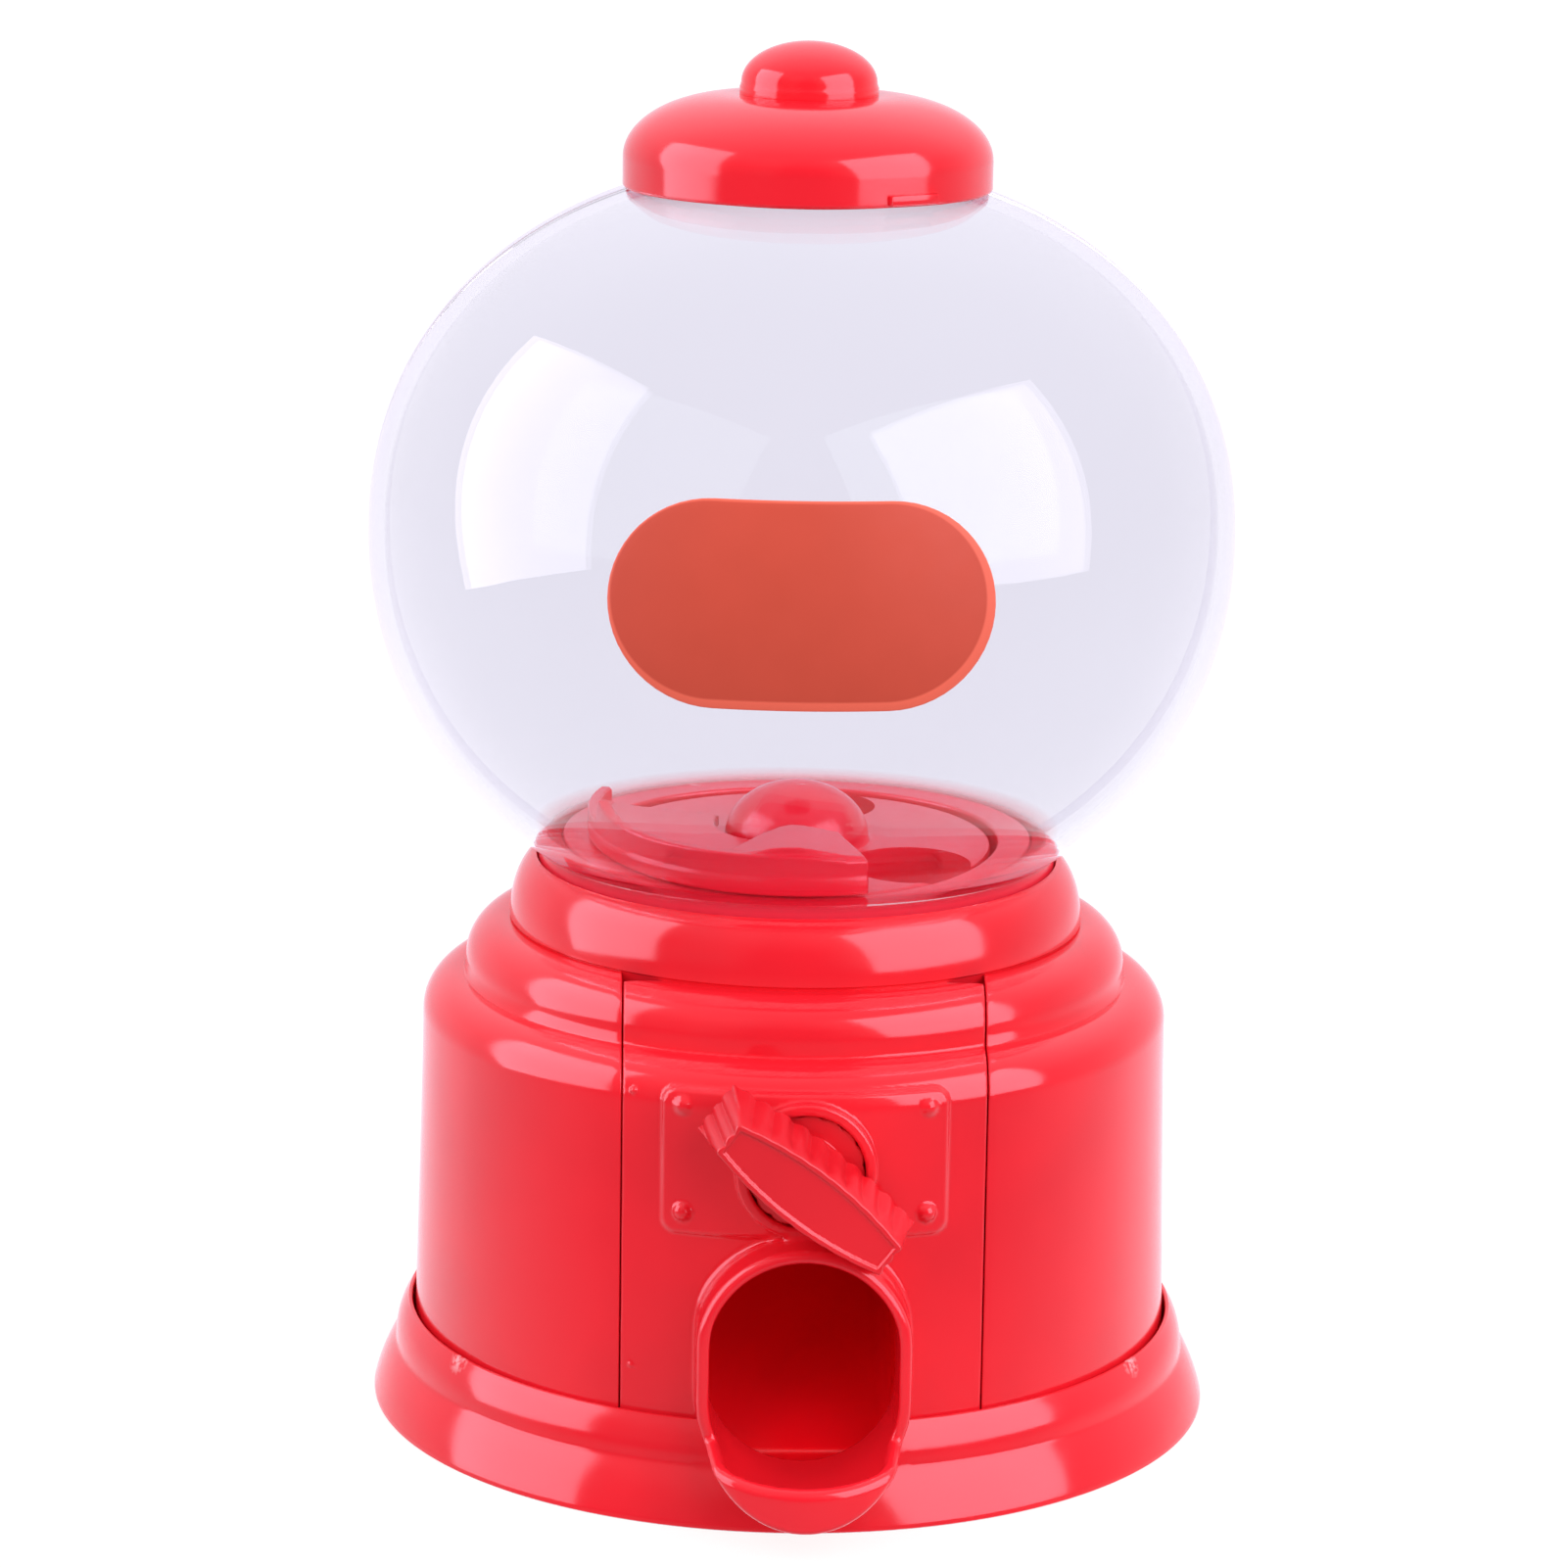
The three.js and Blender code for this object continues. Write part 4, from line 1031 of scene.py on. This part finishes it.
def post(x, y, radius, low_z, high_z):
    """A plain upright cylinder used only as a cutter."""
    points, faces = turned([(0, low_z), (radius, low_z), (radius, high_z), (0, high_z)], 64)
    return cutter(points + np.array([x, y, 0]), faces)


def rotor():
    """The pocket wheel with its dome, cut through by three pockets, and the spindle under it."""
    r, low, top, dome_r, dome_top = (ROTOR[key] for key in ("r", "bottom_z", "top_z", "dome_r", "dome_top"))
    dome_z = top + 0.5
    dome = [
        (dome_r * math.sin(a), dome_z + (dome_top - dome_z) * math.cos(a))
        for a in np.linspace(math.pi / 2, 0, 25)
    ]
    outline = [
        (0, low), (r - 0.3, low), (r, low + 0.3), (r, top - 0.6), (r - 0.15, top - 0.2), (r - 0.5, top),
        (dome_r + 0.5, top), (dome_r + 0.12, top + 0.15), *dome,
    ]
    wheel = turned(supported(outline, closed=False), 160)
    made = piece("rotor", *wheel, inner_red, "rotor_assembly", "inner_red_plastic", ["rotor"])
    places = [polar(POCKET["offset"], angle) for angle in POCKET["angles"]]
    cut_through(made, [post(*place, POCKET["r"], low - 1, top + 1) for place in places])
    spindle = turned([(0, 43.1), (2.4, 43.1), (2.6, 43.3), (2.6, low + 0.2), (0, low + 0.2)], 48)
    piece("rotor_spindle", *spindle, inner_red, "rotor_assembly", "inner_red_plastic", [])


def hopper():
    """The flanged cup with its outlet, and the upper half of the shaft's bearing under its floor."""
    low, floor, rim = CUP["floor_z"], CUP["floor_top"], CUP["rim_z"]
    hole, inner, outer = CUP["hole_r"], CUP["inner_r"], CUP["outer_r"]
    lip, flange = CUP["lip_r"], CUP["flange_r"]
    outline = [
        (hole, low), (flange, low), (flange, floor), (outer, floor), (outer, rim - 1.0),
        (lip, rim - 0.8), (lip, rim), (inner, rim), (inner, floor), (hole, floor),
    ]
    outline = softened(outline, [0.2, 0.3, 0.3, 0.4, 0.3, 0.2, 0.3, 0.35, 0.4, 0.2], steps=4)
    cup = turned(supported(outline), 192, wrap=True)
    made = piece("hopper", *cup, inner_red, "body", "inner_red_plastic", ["hopper"])
    cut_through(made, [post(*polar(POCKET["offset"], OUTLET["angle"]), OUTLET["r"], 45, 49)])
    block = snap_block(-24.0, -21.0, 6.5, AXLE_Z + 0.15, low + 0.3, 90)
    made = piece("hopper_bearing", *block, inner_red, "body", "inner_red_plastic", [])
    points, faces = turned([(0, 0), (KNOB["bore_r"], 0), (KNOB["bore_r"], 6), (0, 6)], 48)
    x, up, along = points.T
    cut_through(made, [cutter(np.stack([x, along - 25.5, up + AXLE_Z], -1), faces)])


base_plinth()
chute_ramp()
housing()
front_panel()
globe_halves()
label()
lid()
finial()
knob()
guard_hood()
rotor()
hopper()

KEPT = {
    "bearing_cap": (inner_red, "inner_red_plastic"), "knob_shaft": (inner_red, "inner_red_plastic"),
    "drive_pinion": (white, "white_plastic"), "crown_gear": (white, "white_plastic"),
}
for name, made in frame["nodes"].items():
    if "screw" in name:
        material, slot = steel, "steel"
    elif name in KEPT:
        material, slot = KEPT[name]
    else:
        continue
    made.data.materials.clear()
    made.data.materials.append(material)


# ---- Stage ----
GLOSS_TINT = (1.0, 0.82, 1.0)  # of the two windows
SKY_TINT = (0.93, 0.88, 1.0)  # of the surroundings in a reflection


def stage_floor():
    """A pale round table top that fades away into the white surroundings."""
    sides = 96
    angles = np.linspace(0, 2 * math.pi, sides, endpoint=False)
    points = [(0, 0, 0)] + [(0.6 * math.cos(a), 0.6 * math.sin(a), 0) for a in angles]
    faces = [(0, i + 1, (i + 1) % sides + 1) for i in range(sides)]
    mesh = bpy.data.meshes.new("floor")
    mesh.from_pydata(points, [], faces)
    material, tree, bsdf = shader("floor")
    feed_all(tree, bsdf, {
        "Base Color": mottled(tree, 3, 2, (0.86, 0.86, 0.86), (0.88, 0.88, 0.88)),
        "Roughness": 0.9,
        "Specular IOR Level": 0.1,
        "Alpha": ramp(tree, distance_from(tree, own_place(tree)), 0.043, 0.13, 0.2, 0.0),
    })
    mesh.materials.append(material)
    linked("floor", mesh)


def area_lamp(name, size, radiance, colour):
    data = bpy.data.lights.new(name, "AREA")
    data.shape = "RECTANGLE"
    data.size, data.size_y = size
    data.energy = radiance * math.pi * size[0] * size[1]
    data.color = colour
    made = linked(name, data)
    made.visible_camera = False
    return made


def softbox(name, azimuth, elevation, size, radiance, lean=0.0, glossy=True):
    """A window-like lamp 0.75 m from the globe's middle. Azimuth is from the front, positive to the right.
    A glossy one is seen only as a reflection, and the others only light the surfaces."""
    made = area_lamp(name, size, radiance, GLOSS_TINT if glossy else (1, 1, 1))
    a, e = math.radians(azimuth), math.radians(elevation)
    aim = Vector((math.sin(a) * math.cos(e), -math.cos(a) * math.cos(e), math.sin(e)))
    turn = aim.to_track_quat("Z", "Y").to_matrix().to_4x4() @ Matrix.Rotation(math.radians(lean), 4, "Z")
    made.matrix_world = Matrix.Translation(aim * 0.75 + Vector((0, 0, GLOBE["mid_z"] * MM))) @ turn
    made.visible_glossy = glossy
    made.visible_diffuse = not glossy


def slide_glow():
    """Red light over the slide, standing in for what seeps through the thin walls."""
    made = area_lamp("slide_glow", (18 * MM, 26 * MM), 0.35, (1.0, 0.0, 0.02))
    made.location = (-3 * MM, -16 * MM, 26.5 * MM)
    made.visible_glossy = False


def world():
    """White to the camera and through the clear globe. For light and gloss it is bright behind and dim in
    front, and its reflections are tinted."""
    made = bpy.data.worlds.new("studio")
    bpy.context.scene.world = made
    made.use_nodes = True
    tree = made.node_tree
    way = split_place(tree, node(tree, "ShaderNodeTexCoord").outputs["Generated"])
    depth = ramp(tree, way["Y"], -0.5, 0.55, 0.12, 1.0)
    above = ramp(tree, way["Z"], 0.35, 1.0, 0.0, 0.65)
    below = ramp(tree, way["Z"], -0.05, -0.4, 0.0, 0.4)
    total = calculated(tree, "ADD", calculated(tree, "ADD", depth, above), below)
    path = node(tree, "ShaderNodeLightPath").outputs
    white_share = ramp(tree, path["Transmission Depth"], 0.0, 1.0, 0.0, 0.2)
    for direct in ("Is Camera Ray", "Is Transmission Ray"):
        white_share = calculated(tree, "MAXIMUM", path[direct], white_share)
    strength = node(tree, "ShaderNodeMix", data_type="FLOAT")
    for socket, value in ((0, white_share), (2, total), (3, 1.07)):
        feed(tree, strength.inputs[socket], value)
    reflected = calculated(tree, "SUBTRACT", path["Is Glossy Ray"], white_share, use_clamp=True)
    feed_all(tree, tree.nodes["Background"], {
        "Color": blend_colours(tree, reflected, (1, 1, 1), SKY_TINT),
        "Strength": strength.outputs[0],
    })


CAMERA = dict(distance=0.4923, height=0.1794, side=-0.001355, lens=115.62)
CAMERA_TURN, CAMERA_PITCH, CAMERA_ROLL = (math.radians(a) for a in (2.0, 13.27, 0.939))


def camera():
    data = bpy.data.cameras.new("camera")
    made = linked("camera", data)
    data.lens, data.sensor_width = CAMERA["lens"], 36.0
    data.clip_start = 0.01
    turn = Matrix.Rotation(-CAMERA_TURN, 4, "Z")
    pitch = Matrix.Rotation(math.pi / 2 - CAMERA_PITCH, 4, "X")
    roll = Matrix.Rotation(CAMERA_ROLL, 4, "Z")
    place = turn @ Vector((CAMERA["side"], -CAMERA["distance"], CAMERA["height"]))
    made.matrix_world = Matrix.Translation(place) @ turn @ pitch @ roll
    bpy.context.scene.camera = made


stage_floor()
softbox("window_left", -84, 20, (0.64, 0.82), 4.2, lean=13)
softbox("window_right", 52.5, 22, (0.72, 0.76), 4.4)
softbox("fill_left", -50, 25, (0.8, 0.7), 2.1, glossy=False)
softbox("fill_right", 42, 26, (0.8, 0.7), 3.1, glossy=False)
slide_glow()
world()
camera()
bpy.context.scene.view_settings.view_transform = "Standard"
